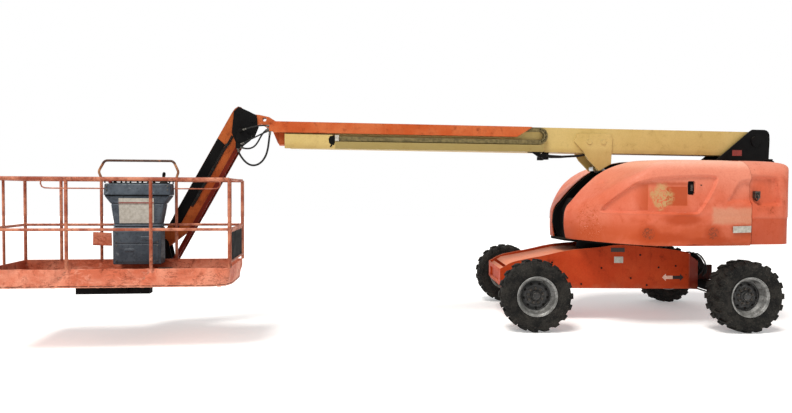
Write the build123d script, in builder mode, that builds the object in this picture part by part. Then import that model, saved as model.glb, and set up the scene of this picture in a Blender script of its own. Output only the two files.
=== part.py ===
from build123d import *
import os
from math import sin, cos, tan, pi, radians, hypot

os.makedirs("parts", exist_ok=True)

# ---------------------------------------------------------------- dimensions
# Millimetres. The origin is on the ground under the swing axis, +X towards the
# steered axle, +Y to the left of it, +Z up.
SWING = 8.7                 # the upper works stand turned by this about +Z
WHEELBASE, TRACK = 2490, 2034
TYRE_R, TYRE_W, BEAD_R = 430, 305, 238
HUB_Z = TYRE_R
STEER = 5.4                 # the front wheels stand steered by this
KINGPIN_Y, ARM_R = 767, 150
CHASSIS_HALF = 461
DECK_Z0, DECK_Z1 = 1030, 1056
PLATE_IN, PLATE_OUT = 160, 180      # turntable side plates, across
HOOD_IN, HOOD_T = 188, 10
HOOD_SIDE, HOOD_BACK = 1050, 1316
TAIL_R = 2150
BOOM_HALF, BOOM_Z0, BOOM_Z1, BOOM_T = 130, 2201, 2515, 12
BOOM_FRONT, BOOM_REAR = -4364, 2180
FLY_HALF, FLY_Z0, FLY_Z1 = 108, 2223, 2493
LIFT_PIVOT = (2050, 2380)
LIFT_EYE, LIFT_FOOT = (-215, 1990), (1500, 1165)
TRACK_V = (-201, -153)      # the hose carrier, across
LOOP = (-1090, 2398, 53, 108)       # centre along, centre up, inner and outer radius
LEVEL_PIN = (-4749, 2546)
JIB_A, JIB_B, JIB_LEN = (-4914, 2636), (-4845, 2344), 1830
JIB_DOWN = 61.4             # the jib hangs by this below the horizontal
JIB_C = (-4874, 2390)       # foot of the jib cylinder, on the head
JIB_D_T, JIB_D_DEPTH = 1050, 180    # its rod eye, along and across the arm
ROT_U = -6049               # rotator axis, along
PLAT_YAW, PLAT_X, PLAT_Y, PLAT_Z = 5.53, -5907, -1654, 673
PLAT_L, PLAT_W = 2438, 910
TOE_H, RAIL_Z, MID_Z = 191, 1111, 594


class Yard:
    """A level frame: u along, v across, both turned by yaw, and z up."""

    def __init__(self, x, y, yaw):
        self.x, self.y = x, y
        self.c, self.s = cos(radians(yaw)), sin(radians(yaw))

    def at(self, u, v, z):
        return Vector(self.x + u * self.c - v * self.s, self.y + u * self.s + v * self.c, z)

    def side(self, v):
        return Plane(origin=self.at(0, v, 0), x_dir=(self.c, self.s, 0), z_dir=(self.s, -self.c, 0))

    def plan(self, z):
        return Plane(origin=self.at(0, 0, z), x_dir=(self.c, self.s, 0), z_dir=(0, 0, 1))

    def cross(self, u):
        return Plane(origin=self.at(u, 0, 0), x_dir=(-self.s, self.c, 0), z_dir=(self.c, self.s, 0))


CH = Yard(0, 0, 0)
UP = Yard(0, 0, SWING)
PL = Yard(PLAT_X, PLAT_Y, PLAT_YAW)


def slab(yard, outline, v0, v1, mode=Mode.ADD):
    """A plate of the outline (along, up) between two offsets across."""
    with BuildSketch(yard.side(max(v0, v1))) as face:
        with BuildLine():
            Polyline(*outline, close=True)
        make_face()
    extrude(face.sketch, amount=abs(v1 - v0), mode=mode)


def block(yard, outline, z0, z1, mode=Mode.ADD):
    """A block of the plan outline (along, across) between two heights."""
    with BuildSketch(yard.plan(z0)) as face:
        with BuildLine():
            Polyline(*outline, close=True)
        make_face()
    extrude(face.sketch, amount=z1 - z0, mode=mode)


def bar(yard, outline, u0, u1, mode=Mode.ADD):
    """A bar of the section outline (across, up) between two places along."""
    with BuildSketch(yard.cross(u0)) as face:
        with BuildLine():
            Polyline(*outline, close=True)
        make_face()
    extrude(face.sketch, amount=u1 - u0, mode=mode)


def brick(yard, u0, u1, v0, v1, z0, z1, mode=Mode.ADD):
    block(yard, [(u0, v0), (u1, v0), (u1, v1), (u0, v1)], z0, z1, mode)


def pin(yard, u, z, r, v0, v1, mode=Mode.ADD):
    """A round pin that lies across."""
    with BuildSketch(yard.side(max(v0, v1))) as face:
        with Locations((u, z)):
            Circle(r)
    extrude(face.sketch, amount=abs(v1 - v0), mode=mode)


def post(yard, u, v, r, z0, z1, mode=Mode.ADD):
    """A round post that stands."""
    with BuildSketch(yard.plan(z0)) as face:
        with Locations((u, v)):
            Circle(r)
    extrude(face.sketch, amount=z1 - z0, mode=mode)


def round_bar(p, q, r, mode=Mode.ADD):
    """A round bar from the point p to the point q."""
    p, q = Vector(*p), Vector(*q)
    with BuildSketch(Plane(origin=p, z_dir=q - p)) as face:
        Circle(r)
    extrude(face.sketch, amount=(q - p).length, mode=mode)


def inset(points, t):
    """The open polyline moved by t to its right-hand side."""
    out = []
    for i, (x, y) in enumerate(points):
        x0, y0 = points[max(i - 1, 0)]
        x1, y1 = points[min(i + 1, len(points) - 1)]
        length = hypot(x1 - x0, y1 - y0)
        out.append((x + t * (y1 - y0) / length, y - t * (x1 - x0) / length))
    return out


def save(builder, name):
    builder.part.label = name
    export_step(builder.part, "parts/" + name + ".step")


# ---------------------------------------------------------------- chassis
# Top edge of the frame's side, from the fixed axle to the steered one: X, Z
CHASSIS_TOP = [(-1570, 671), (-1405, 761), (-1015, 844), (-692, 915), (-301, 956),
               (-34, 990), (319, 965), (700, 924), (898, 883), (1054, 799)]
with BuildPart() as chassis_frame:
    slab(CH, [(-1570, 470), (-1540, 425), (860, 425), (1040, 400), (1054, 400)] + CHASSIS_TOP[::-1],
         -CHASSIS_HALF, CHASSIS_HALF)
    # open underneath, with a web around the cavity
    brick(CH, -1500, 840, -CHASSIS_HALF + 16, CHASSIS_HALF - 16, 380, 700, Mode.SUBTRACT)
    # the middle of the top is lower than the side plates, for the bearing
    slab(CH, [(-1560, 640), (-1405, 740), (-1015, 815), (-692, 885), (-520, 905), (520, 905),
              (700, 895), (898, 855), (1050, 770), (1080, 1100), (-1600, 1100)],
         -CHASSIS_HALF + 24, CHASSIS_HALF - 24, Mode.SUBTRACT)
    # end plate's recess, and the bevelled corners of the steered end
    brick(CH, -1580, -1545, -330, 330, 485, 615, Mode.SUBTRACT)
    for s in (1, -1):
        block(CH, [(870, s * 461), (1060, s * 461), (1060, s * 330)], 380, 1000, Mode.SUBTRACT)
    # the mount that carries the steered axle, with its two ears
    brick(CH, 1040, 1172, -120, 120, 560, 700)
    for s in (1, -1):
        brick(CH, 1040, 1330, s * 120, s * 160, 505, 700)
    # tie-down holes by the fixed axle
    for s in (1, -1):
        pin(CH, -1440, 560, 26, s * 380, s * 470, Mode.SUBTRACT)
save(chassis_frame, "chassis_frame")

with BuildPart() as swing_bearing:
    post(CH, 0, 0, 430, 905, 1024)
    post(CH, 0, 0, 300, 900, 1030, Mode.SUBTRACT)
save(swing_bearing, "swing_bearing")

with BuildPart() as rear_axle:
    for s in (1, -1):
        pin(CH, -WHEELBASE / 2, HUB_Z, 78, s * (CHASSIS_HALF + 0.2), s * 845)
        pin(CH, -WHEELBASE / 2, HUB_Z, 130, s * 720, s * 845)
        pin(CH, -WHEELBASE / 2, HUB_Z + 20, 115, s * (CHASSIS_HALF + 0.2), s * 500)
save(rear_axle, "rear_axle")

AXLE_X = WHEELBASE / 2
with BuildPart() as front_axle:
    brick(CH, AXLE_X - 65, AXLE_X + 65, -700, 700, 385, 500)
    for s in (1, -1):
        brick(CH, AXLE_X - 44, AXLE_X + 44, s * 690, s * 700, 322, 545)
        for z0, z1 in ((322, 347), (520, 545)):
            brick(CH, AXLE_X - 60, AXLE_X + 60, s * 690, s * KINGPIN_Y, z0, z1)
            post(CH, AXLE_X, s * KINGPIN_Y, 60, z0, z1)
            post(CH, AXLE_X, s * KINGPIN_Y, 28, z0 - 2, z1 + 2, Mode.SUBTRACT)
    brick(CH, AXLE_X - 60, AXLE_X + 60, -118, 118, 500, 555)
save(front_axle, "front_axle")


# side: name, side of the centreline
for name, s in (("left", 1), ("right", -1)):
    K = Yard(AXLE_X, s * KINGPIN_Y, STEER)
    with BuildPart() as knuckle:
        post(K, 0, 0, 50, 350, 517)
        post(K, 0, 0, 27, 324, 543)
        pin(K, 0, HUB_Z, 62, s * 20, s * 78)
        pin(K, 0, HUB_Z, 110, s * 70, s * 84)
        brick(K, -ARM_R, 0, -24, 24, 352, 376)
        post(K, -ARM_R, 0, 24, 352, 376)
        post(K, -ARM_R, 0, 12, 370, 408)
    save(knuckle, "knuckle_" + name)

KL = Yard(AXLE_X, KINGPIN_Y, STEER)
KR = Yard(AXLE_X, -KINGPIN_Y, STEER)
with BuildPart() as tie_rod:
    p, q = KL.at(-ARM_R, 0, 393), KR.at(-ARM_R, 0, 393)
    round_bar(p, q, 10)
    for end in (KL, KR):
        post(end, -ARM_R, 0, 26, 380, 406)
        post(end, -ARM_R, 0, 13, 378, 408, Mode.SUBTRACT)
save(tie_rod, "tie_rod")

# Tyre section: radius, half width at it
TYRE = [(BEAD_R + 1, 118), (262, 138), (320, 150), (372, 152.5), (405, 147), (424, 132), (TYRE_R, 110)]
# wheel: name, X, side, yaw, distance of its middle plane from its turning point
WHEELS = [("rear_left", -AXLE_X, 0, 1, 0, TRACK / 2), ("rear_right", -AXLE_X, 0, -1, 0, TRACK / 2),
          ("front_left", AXLE_X, KINGPIN_Y, 1, STEER, TRACK / 2 - KINGPIN_Y),
          ("front_right", AXLE_X, -KINGPIN_Y, -1, STEER, TRACK / 2 - KINGPIN_Y)]
for name, x, y, s, yaw, reach in WHEELS:
    W = Yard(x, y, yaw)
    mid = s * reach
    middle = Plane(origin=W.at(0, mid, HUB_Z), x_dir=(0, 0, 1), z_dir=(W.c, W.s, 0))
    # on that plane the local x is up and the local y is along the axle, outwards for s = -1 turned
    out = 1 if middle.y_dir.dot(Vector(-W.s, W.c, 0)) * s > 0 else -1
    axle = Axis(W.at(0, mid, HUB_Z), (-W.s, W.c, 0))
    with BuildPart() as tyre:
        with BuildSketch(middle):
            with BuildLine():
                Polyline(*([(r, h) for r, h in TYRE] + [(r, -h) for r, h in TYRE[::-1]]), close=True)
            make_face()
        revolve(axis=axle)
    save(tyre, "tyre_" + name)
    with BuildPart() as rim:
        # the section goes round the outline: the flange, the well, the disc and the hub's dome
        section = [(BEAD_R, 128), (BEAD_R, 118), (222, 108), (222, -108), (BEAD_R, -118), (BEAD_R, -128),
                   (212, -128), (212, -20), (110, 0), (110, -165), (0, -165), (0, 78), (70, 78),
                   (95, 60), (110, 22), (120, 22), (212, 10), (212, 128)]
        with BuildSketch(middle):
            with BuildLine():
                Polyline(*[(r, out * h) for r, h in section], close=True)
            make_face()
        revolve(axis=axle)
    save(rim, "rim_" + name)

# ---------------------------------------------------------------- turntable
# Nose and top of the hood at its inner edge: along, up
HOOD_TOP = [(-727, 1072), (-759, 1168), (-773, 1253), (-762, 1385), (-722, 1471), (-659, 1539),
            (-521, 1694), (-411, 1796), (-288, 1894), (-99, 1996), (188, 2080), (429, 2104), (700, 2112),
            (HOOD_BACK, 2108)]
# The hood's outer side in plan, on the positive side: along, across
HOOD_PLAN = [(-776, 180), (-768, 230), (-738, 300), (-684, 420), (-622, 530), (-545, 650), (-440, 770),
             (-305, 880), (-140, 965), (60, 1015), (300, 1043), (550, HOOD_SIDE), (HOOD_BACK, HOOD_SIDE)]
# The hood's section across, on the positive side: across, up
HOOD_SECTION = [(150, 2125), (420, 2108), (700, 2088), (860, 2058), (960, 1990), (1015, 1880),
                (1040, 1700), (1050, 1450), (1050, 1250), (1040, 1010)]

with BuildPart() as turntable_deck:
    plan = inset(HOOD_PLAN, 24)
    block(UP, [(u, v) for u, v in plan[1:-1]] + [(1300, 1020), (1300, -1020)] + [(u, -v) for u, v in plan[1:-1][::-1]],
          DECK_Z0, DECK_Z1)
    post(UP, 0, 0, 300, DECK_Z0 - 5, DECK_Z1 + 5, Mode.SUBTRACT)
save(turntable_deck, "turntable_deck")

with BuildPart() as turntable_frame:
    top = inset(HOOD_TOP, 22)
    outline = [(-660, DECK_Z1)] + [p for p in top[2:12]] + [(1420, 2090), (1512, 2157), (1975, 2524),
               (2010, 2544), (2190, 2544), (2228, 2534), (2256, 2510), (2270, 2474), (2275, 2403), (2265, 2126), (2190, 2090), (2120, 1700),
               (2060, 1400), (2060, DECK_Z1)]
    for s in (1, -1):
        slab(UP, outline, s * PLATE_IN, s * PLATE_OUT)
        pin(UP, LIFT_PIVOT[0], LIFT_PIVOT[1], 45, s * 150, s * 190, Mode.SUBTRACT)
    # cross plates: the front one below the boom's bracket, the foot of the cylinder, and the back
    slab(UP, [(-640, DECK_Z1), (-640, 1400), (-540, 1590), (-528, 1582), (-625, 1396), (-625, DECK_Z1)],
         -PLATE_IN, PLATE_IN)
    brick(UP, 1590, 1610, -PLATE_IN, PLATE_IN, DECK_Z1, 1500)
    brick(UP, 2040, 2060, -PLATE_IN, PLATE_IN, DECK_Z1, 2000)
    for s in (1, -1):
        brick(UP, 1440, 1590, s * 90, s * PLATE_IN, DECK_Z1, 1240)
        pin(UP, LIFT_FOOT[0], LIFT_FOOT[1], 40.5, s * 88, s * PLATE_IN, Mode.SUBTRACT)
save(turntable_frame, "turntable_frame")

with BuildPart() as lift_foot_pin:
    pin(UP, LIFT_FOOT[0], LIFT_FOOT[1], 40, -158, 158)
save(lift_foot_pin, "lift_foot_pin")

with BuildPart() as boom_pivot_pin:
    pin(UP, LIFT_PIVOT[0], LIFT_PIVOT[1], 44.5, -192, 192)
    for s in (1, -1):
        pin(UP, LIFT_PIVOT[0], LIFT_PIVOT[1], 70, s * 180.5, s * 196)
save(boom_pivot_pin, "boom_pivot_pin")

for name, s in (("left", 1), ("right", -1)):
    # the space inside the moulding
    with BuildPart() as hollow:
        slab(UP, inset(HOOD_TOP, HOOD_T)[:-1] + [(1400, 2098), (1400, 900), (-700, 900)], s * 150, s * 1100)
        inner = inset(HOOD_PLAN, HOOD_T)
        block(UP, [(u, s * v) for u, v in inner[:-1]] + [(1410, s * (HOOD_SIDE - HOOD_T)), (1410, s * 140),
                   (-775, s * 140)], 800, 2300, Mode.INTERSECT)
        section = inset(HOOD_SECTION, HOOD_T)
        bar(UP, [(s * v, z) for v, z in section] + [(s * 1020, 800), (s * 120, 800), (s * 120, 2112)],
            -900, 1405, Mode.INTERSECT)
    with BuildPart() as hood:
        bottom = [(HOOD_BACK, 1018), (500, 1018), (50, 1024), (-400, 1046), (-640, 1060)]
        slab(UP, HOOD_TOP + bottom, s * HOOD_IN, s * (HOOD_SIDE + 5))
        block(UP, [(u, s * v) for u, v in HOOD_PLAN] + [(HOOD_BACK, s * 180)], 900, 2300, Mode.INTERSECT)
        bar(UP, [(s * v, z) for v, z in HOOD_SECTION] + [(s * 150, 1010)], -900, HOOD_BACK + 5, Mode.INTERSECT)
        add(hollow.part, mode=Mode.SUBTRACT)
    save(hood, "hood_" + name)

# Counterweight's tail: along at the middle, up
TAIL = [(1322, 1030), (2150, 1030), (2117, 1533), (2054, 1830), (1994, 1990), (1826, 2072), (1600, 2096), (1322, 2100)]
with BuildPart() as counterweight:
    slab(UP, TAIL, -HOOD_SIDE, HOOD_SIDE)
    with BuildSketch(UP.plan(900)) as plan_face:
        with BuildLine():
            Polyline((1322, -1050), (1700, -1050), (1790, -1025), (1865, -975))
            ThreePointArc((1865, -975), (2146, 0), (1865, 975))
            Polyline((1865, 975), (1790, 1025), (1700, 1050), (1322, 1050), (1322, -1050))
        make_face()
    extrude(plan_face.sketch, amount=1400, mode=Mode.INTERSECT)
    bar(UP, [(v, z) for v, z in HOOD_SECTION] + [(-v, z) for v, z in HOOD_SECTION[::-1]], 1300, 2300, Mode.INTERSECT)
    # slot for the turntable's plates, and the casting is hollow towards the front
    brick(UP, 1300, 2300, -186, 186, 1000, 2200, Mode.SUBTRACT)
    for s in (1, -1):
        brick(UP, 1300, 1720, s * 300, s * 1000, 1000, 2000, Mode.SUBTRACT)
        # tie-down recess and its bore
        brick(UP, 1336, 1640, s * 1000, s * 1060, 1560, 1770, Mode.SUBTRACT)
save(counterweight, "counterweight")

with BuildPart() as tie_down_lugs:
    for s in (1, -1):
        brick(UP, 1352, 1422, s * 1000.5, s * 1046, 1600, 1690)
        pin(UP, 1387, 1645, 22, s * 990, s * 1060, Mode.SUBTRACT)
save(tie_down_lugs, "tie_down_lugs")

with BuildPart() as engine_block:
    brick(UP, -150, 650, 330, 850, DECK_Z1 + 0.5, 1620)
save(engine_block, "engine_block")
with BuildPart() as fluid_tank:
    brick(UP, -250, 420, -850, -330, DECK_Z1 + 0.5, 1560)
save(fluid_tank, "fluid_tank")
with BuildPart() as ground_control_box:
    brick(UP, 470, 700, -960, -800, 1420, 1840)
    brick(UP, 560, 610, -880, -820, DECK_Z1 + 0.5, 1420)
save(ground_control_box, "ground_control_box")

# ---------------------------------------------------------------- boom
with BuildPart() as base_boom:
    chamfer_end = [(BOOM_FRONT, BOOM_Z1), (BOOM_FRONT, 2270), (BOOM_FRONT + 70, BOOM_Z0), (1960, BOOM_Z0 - 19), (BOOM_REAR, 2250),
                   (BOOM_REAR, BOOM_Z1 - 20), (BOOM_REAR - 40, BOOM_Z1)]
    slab(UP, chamfer_end, -BOOM_HALF, BOOM_HALF)
    brick(UP, BOOM_FRONT - 5, 1700, -BOOM_HALF + BOOM_T, BOOM_HALF - BOOM_T, BOOM_Z0 + BOOM_T, BOOM_Z1 - BOOM_T,
          Mode.SUBTRACT)
    # lift bracket, its eye stubs, and the pivot bosses
    bracket = [(-592, 2338), (-538, 2443), (-97, 2453), (-51, 2402), (-69, 2046), (-240, 1952), (-393, 2098), (-464, 2207)]
    for s in (1, -1):
        slab(UP, bracket, s * (BOOM_HALF - 2), s * (BOOM_HALF + 20))
        pin(UP, LIFT_EYE[0], LIFT_EYE[1], 36, s * 66, s * (BOOM_HALF + 1))
        for u in (-380, -180):
            pin(UP, u, 2336, 35, s * (BOOM_HALF + 10), s * (BOOM_HALF + 27))
        pin(UP, LIFT_PIVOT[0], LIFT_PIVOT[1], 92, s * (BOOM_HALF - 2), s * 155)
    pin(UP, LIFT_PIVOT[0], LIFT_PIVOT[1], 45, -160, 160, Mode.SUBTRACT)
    # hose hanger under the boom's front part
    brick(UP, -1000, -940, -110, -60, 2130, BOOM_Z0 + 2)
save(base_boom, "base_boom")

with BuildPart() as carrier_trough:
    brick(UP, BOOM_FRONT + 2, -1040, -212, -BOOM_HALF - 0.3, 2190, 2279)
    slab(UP, [(BOOM_FRONT + 2, 2190), (-3746, 2190), (-3746, 2330), (-3790, 2360), (BOOM_FRONT + 2, 2360)],
         -212, -BOOM_HALF - 0.3)
save(carrier_trough, "carrier_trough")

with BuildPart() as carrier_lower_run:
    brick(UP, -3744, LOOP[0] - 2, TRACK_V[0], TRACK_V[1], LOOP[1] - LOOP[3], LOOP[1] - LOOP[2])
save(carrier_lower_run, "carrier_lower_run")

with BuildPart() as carrier_loop:
    with BuildSketch(UP.side(TRACK_V[1])) as ring:
        with Locations((LOOP[0], LOOP[1])):
            Circle(LOOP[3])
            Circle(LOOP[2], mode=Mode.SUBTRACT)
        with Locations((LOOP[0] - 200, LOOP[1])):
            Rectangle(400, 400, mode=Mode.SUBTRACT)
    extrude(ring.sketch, amount=TRACK_V[1] - TRACK_V[0])
    brick(UP, LOOP[0] - 2190, LOOP[0], TRACK_V[0], TRACK_V[1], LOOP[1] + LOOP[2], LOOP[1] + LOOP[3])
save(carrier_loop, "carrier_loop")

with BuildPart() as fly_boom:
    brick(UP, -4433, 600, -FLY_HALF, FLY_HALF, FLY_Z0 + 14, FLY_Z1)
    brick(UP, -4400, 610, -FLY_HALF + 9, FLY_HALF - 9, FLY_Z0 + 23, FLY_Z1 - 9, Mode.SUBTRACT)
    slab(UP, [(-4420, 2490), (-4433, 2500), (-4553, 2576), (-4670, 2600), (-4749, 2606), (-4800, 2580), (-4812, 2546),
              (-4790, 2500), (-4749, 2484), (-4640, 2490), (-4510, 2405), (-4450, 2262), (-4420, 2250)], -80, 80)
    pin(UP, LEVEL_PIN[0], LEVEL_PIN[1], 30.5, -90, 90, Mode.SUBTRACT)
    pin(UP, -4610, 2545, 24, -90, 90, Mode.SUBTRACT)
save(fly_boom, "fly_boom")

with BuildPart() as push_tube:
    slab(UP, [(-4500, 2380), (-4500, 2512), (-1215, 2512), (-1201, 2505), (-1406, 2380)], -213, -142)
    slab(UP, [(-4480, 2388), (-4480, 2508), (-1100, 2508), (-1100, 2388)], -206, -149, Mode.SUBTRACT)
    brick(UP, -4500, -4440, -143, -80.5, 2400, 2480)
    # gland that the hoses come out of
    brick(UP, -4545, -4499, -208, -154, 2392, 2472)
save(push_tube, "push_tube")

# lift cylinder, from its foot on the turntable to its eye on the boom
LIFT = (LIFT_EYE[0] - LIFT_FOOT[0], LIFT_EYE[1] - LIFT_FOOT[1])
LIFT_LEN = hypot(*LIFT)
LD = (LIFT[0] / LIFT_LEN, LIFT[1] / LIFT_LEN)
with BuildPart() as lift_barrel:
    f = LIFT_FOOT
    round_bar(UP.at(f[0] + 60 * LD[0], 0, f[1] + 60 * LD[1]), UP.at(f[0] + 1560 * LD[0], 0, f[1] + 1560 * LD[1]), 72)
    pin(UP, f[0], f[1], 82, -70, 70)
    pin(UP, f[0], f[1], 40.6, -75, 75, Mode.SUBTRACT)
    round_bar(UP.at(f[0] + 300 * LD[0], 0, f[1] + 300 * LD[1]), UP.at(f[0] + 1570 * LD[0], 0, f[1] + 1570 * LD[1]), 48.5,
              Mode.SUBTRACT)
save(lift_barrel, "lift_barrel")
with BuildPart() as lift_rod:
    round_bar(UP.at(f[0] + 360 * LD[0], 0, f[1] + 360 * LD[1]), UP.at(LIFT_EYE[0], 0, LIFT_EYE[1]), 48)
    pin(UP, LIFT_EYE[0], LIFT_EYE[1], 66, -58, 58)
save(lift_rod, "lift_rod")

# ---------------------------------------------------------------- jib
JD = (-cos(radians(JIB_DOWN)), -sin(radians(JIB_DOWN)))     # along the jib
JN = (sin(radians(JIB_DOWN)), -cos(radians(JIB_DOWN)))      # across it, downwards


def jib(t, depth):
    """A point by its distance along the jib from the upper pin and its depth below the jib's upper edge."""
    return (JIB_A[0] + t * JD[0] + (depth - 65) * JN[0], JIB_A[1] + t * JD[1] + (depth - 65) * JN[1])


JIB_A2 = jib(JIB_LEN, 65)
JIB_B2 = (JIB_B[0] + JIB_LEN * JD[0], JIB_B[1] + JIB_LEN * JD[1])
HEAD = [(-4914, 2690), (-4800, 2640), (-4702, 2592), (-4690, 2465), (-4734, 2355), (-4800, 2290), (-4925, 2190),
        (-4999, 2374), (-4972, 2634)]
with BuildPart() as jib_head:
    for s in (1, -1):
        slab(UP, HEAD, s * 86, s * 102)
        pin(UP, JIB_B[0], JIB_B[1], 22, s * 86, s * 125)
        pin(UP, LEVEL_PIN[0], LEVEL_PIN[1], 42, s * 101, s * 106)
        pin(UP, JIB_A[0], JIB_A[1], 38, s * 101, s * 106)
    pin(UP, LEVEL_PIN[0], LEVEL_PIN[1], 30, -104, 104)
    pin(UP, JIB_A[0], JIB_A[1], 25, -104, 104)
    pin(UP, JIB_C[0], JIB_C[1], 16, -87, 87)
    # hose bracket, clear outside the link, with its two clamps
    brick(UP, -4800, -4758, -150, -100, 2300, 2340)
    slab(UP, [(-4758, 2345), (-4758, 2300), (-4814, 2290), (-4882, 2204), (-4885, 2180), (-4945, 2180), (-4940, 2330),
              (-4910, 2420), (-4860, 2420), (-4800, 2345)], -150, -142)
    brick(UP, -4945, -4890, -184, -149, 2180, 2245)
    brick(UP, -4908, -4860, -184, -149, 2384, 2420)
save(jib_head, "jib_head")

# ---------------------------------------------------------------- free hoses
# They hang between the push tube's gland and the head's clamps. hose: radius, then along, across and up
HOSES = {
    "hose_loop_large": (12, [(-4536, -192, 2388.5), (-4545, -191, 2320), (-4553, -190, 2245), (-4565, -188, 2165),
                             (-4590, -186, 2085), (-4638, -183, 2014), (-4706, -180, 1974), (-4778, -176, 1978),
                             (-4838, -172, 2022), (-4882, -168, 2080), (-4910, -166, 2130), (-4920, -166, 2176)]),
    "hose_loop_small": (10, [(-4552, -188, 2421), (-4586, -188, 2402), (-4620, -187, 2368), (-4650, -185, 2320),
                             (-4679, -182, 2262), (-4716, -179, 2210), (-4765, -176, 2181), (-4818, -174, 2176),
                             (-4858, -172, 2184), (-4886, -172, 2194)]),
    "hose_top": (9, [(-4546.5, -188, 2456), (-4598, -187, 2461), (-4662, -184, 2457), (-4730, -180, 2444),
                     (-4795, -176, 2425), (-4857, -172, 2403)]),
    "hose_middle": (9, [(-4549, -166, 2401), (-4602, -165, 2378), (-4672, -164, 2341), (-4748, -164, 2303),
                        (-4822, -163, 2262), (-4885, -162, 2230)]),
}
for name, (radius, route) in HOSES.items():
    points = [UP.at(*p) for p in route]
    arcs, runs = [], [(q - p).length for p, q in zip(points, points[1:])]
    for i in range(1, len(points) - 1):
        turn = (points[i] - points[i - 1]).get_angle(points[i + 1] - points[i])
        arcs.append(0.45 * min(runs[i - 1], runs[i]) / tan(radians(turn / 2)))
    with BuildPart() as hose:
        with BuildLine() as hose_path:
            FilletPolyline(*points, radius=arcs)
        with BuildSketch(Plane(origin=hose_path.line @ 0, z_dir=hose_path.line % 0)):
            Circle(radius)
        sweep(path=hose_path.line)
    save(hose, name)
    print(name, "length %.0f, least radius %.0f, volume / section %.0f" % (
        sum(edge.length for edge in hose_path.edges()), min(arcs), hose.part.volume / (pi * radius * radius)))

with BuildPart() as jib_arm:
    arm = [jib(*p) for p in [(-58, 65), (-48, 28), (0, 5), (60, 0), (1720, 0), (1830, 5), (1878, 28), (1888, 65), (1878, 102),
                             (1840, 125), (1560, 247), (350, 247), (190, 195), (10, 124), (-45, 104)]]
    for s in (1, -1):
        slab(UP, arm, s * 66, s * 84)
    slab(UP, [jib(*p) for p in [(70, 0.5), (1720, 0.5), (1720, 12), (70, 12)]], -67, 67)
    slab(UP, [jib(*p) for p in [(1300, 5), (1300, 225), (1312, 225), (1312, 5)]], -67, 67)
    pin(UP, JIB_A[0], JIB_A[1], 25.5, -90, 90, Mode.SUBTRACT)
    pin(UP, JIB_A2[0], JIB_A2[1], 25.5, -90, 90, Mode.SUBTRACT)
save(jib_arm, "jib_arm")

with BuildPart() as jib_cover:
    for s in (1, -1):
        slab(UP, [jib(*p) for p in [(412, 2), (1600, 2), (1600, 118), (440, 118)]], s * 84.2, s * 86.8)
save(jib_cover, "jib_cover")

with BuildPart() as jib_links:
    dx, dz = JD
    nx, nz = JN
    ends = [(-26, -14), (-26, 14), (-14, 24), (JIB_LEN + 14, 24), (JIB_LEN + 26, 14), (JIB_LEN + 26, -14),
            (JIB_LEN + 14, -24), (-14, -24)]
    for s in (1, -1):
        slab(UP, [(JIB_B[0] + t * dx + w * nx, JIB_B[1] + t * dz + w * nz) for t, w in ends], s * 108, s * 122)
        pin(UP, JIB_B[0], JIB_B[1], 22.5, s * 100, s * 130, Mode.SUBTRACT)
        pin(UP, JIB_B2[0], JIB_B2[1], 22.5, s * 100, s * 130, Mode.SUBTRACT)
save(jib_links, "jib_links")

JIB_D = jib(JIB_D_T, JIB_D_DEPTH)
JC = (JIB_D[0] - JIB_C[0], JIB_D[1] - JIB_C[1])
JC_LEN = hypot(*JC)
CD = (JC[0] / JC_LEN, JC[1] / JC_LEN)


def on_cylinder(t):
    return UP.at(JIB_C[0] + t * CD[0], 0, JIB_C[1] + t * CD[1])


with BuildPart() as jib_barrel:
    round_bar(on_cylinder(30), on_cylinder(640), 34)
    pin(UP, JIB_C[0], JIB_C[1], 34, -32, 32)
    pin(UP, JIB_C[0], JIB_C[1], 16.6, -40, 40, Mode.SUBTRACT)
    round_bar(on_cylinder(110), on_cylinder(650), 21.6, Mode.SUBTRACT)
save(jib_barrel, "jib_barrel")
with BuildPart() as jib_rod:
    round_bar(on_cylinder(130), on_cylinder(JC_LEN), 21)
    pin(UP, JIB_D[0], JIB_D[1], 32, -30, 30)
save(jib_rod, "jib_rod")

with BuildPart() as platform_support:
    a, b = JIB_A2, JIB_B2
    cheek = [(b[0] + 28, b[1] - 40), (b[0] + 42, b[1] + 10), (a[0] + 48, a[1] + 20), (a[0] + 20, a[1] + 52),
             (a[0] - 30, a[1] + 52), (-5960, 990), (-5960, 700), (b[0] - 60, b[1] - 45)]
    for s in (1, -1):
        slab(UP, cheek, s * 92, s * 103)
        pin(UP, b[0], b[1], 22, s * 92, s * 125)
        pin(UP, a[0], a[1], 36, s * 102, s * 107)
    pin(UP, a[0], a[1], 25, -104, 104)
    brick(UP, -5990, -5940, -103, 103, 720, 980)
    post(UP, ROT_U, 0, 92, 700, 1000)
save(platform_support, "platform_support")

# ---------------------------------------------------------------- platform
HALF_L, HALF_W = PLAT_L / 2, PLAT_W / 2
ROT_A, ROT_B = 0.0, 742.5       # the rotator's axis, in the platform's own frame
with BuildPart() as platform_mount:
    z = PLAT_Z
    post(PL, ROT_A, ROT_B, 88, 1003, 1031)
    post(PL, ROT_A, ROT_B, 88, 655, 697)
    brick(PL, -88, 88, 585, ROT_B, 1003, 1031)
    brick(PL, -88, 88, 585, ROT_B, 655, 697)
    brick(PL, -150, 150, 585, 610, 640, 1031)
    brick(PL, -110, 110, 470, 600, 600, 662)
    brick(PL, -110, 110, -200, 475, 572, z - 1)
    brick(PL, -425, 335, -160, -60, 560, z - 1)
    brick(PL, -425, 335, 250, 350, 590, z - 1)
save(platform_mount, "platform_mount")

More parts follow.
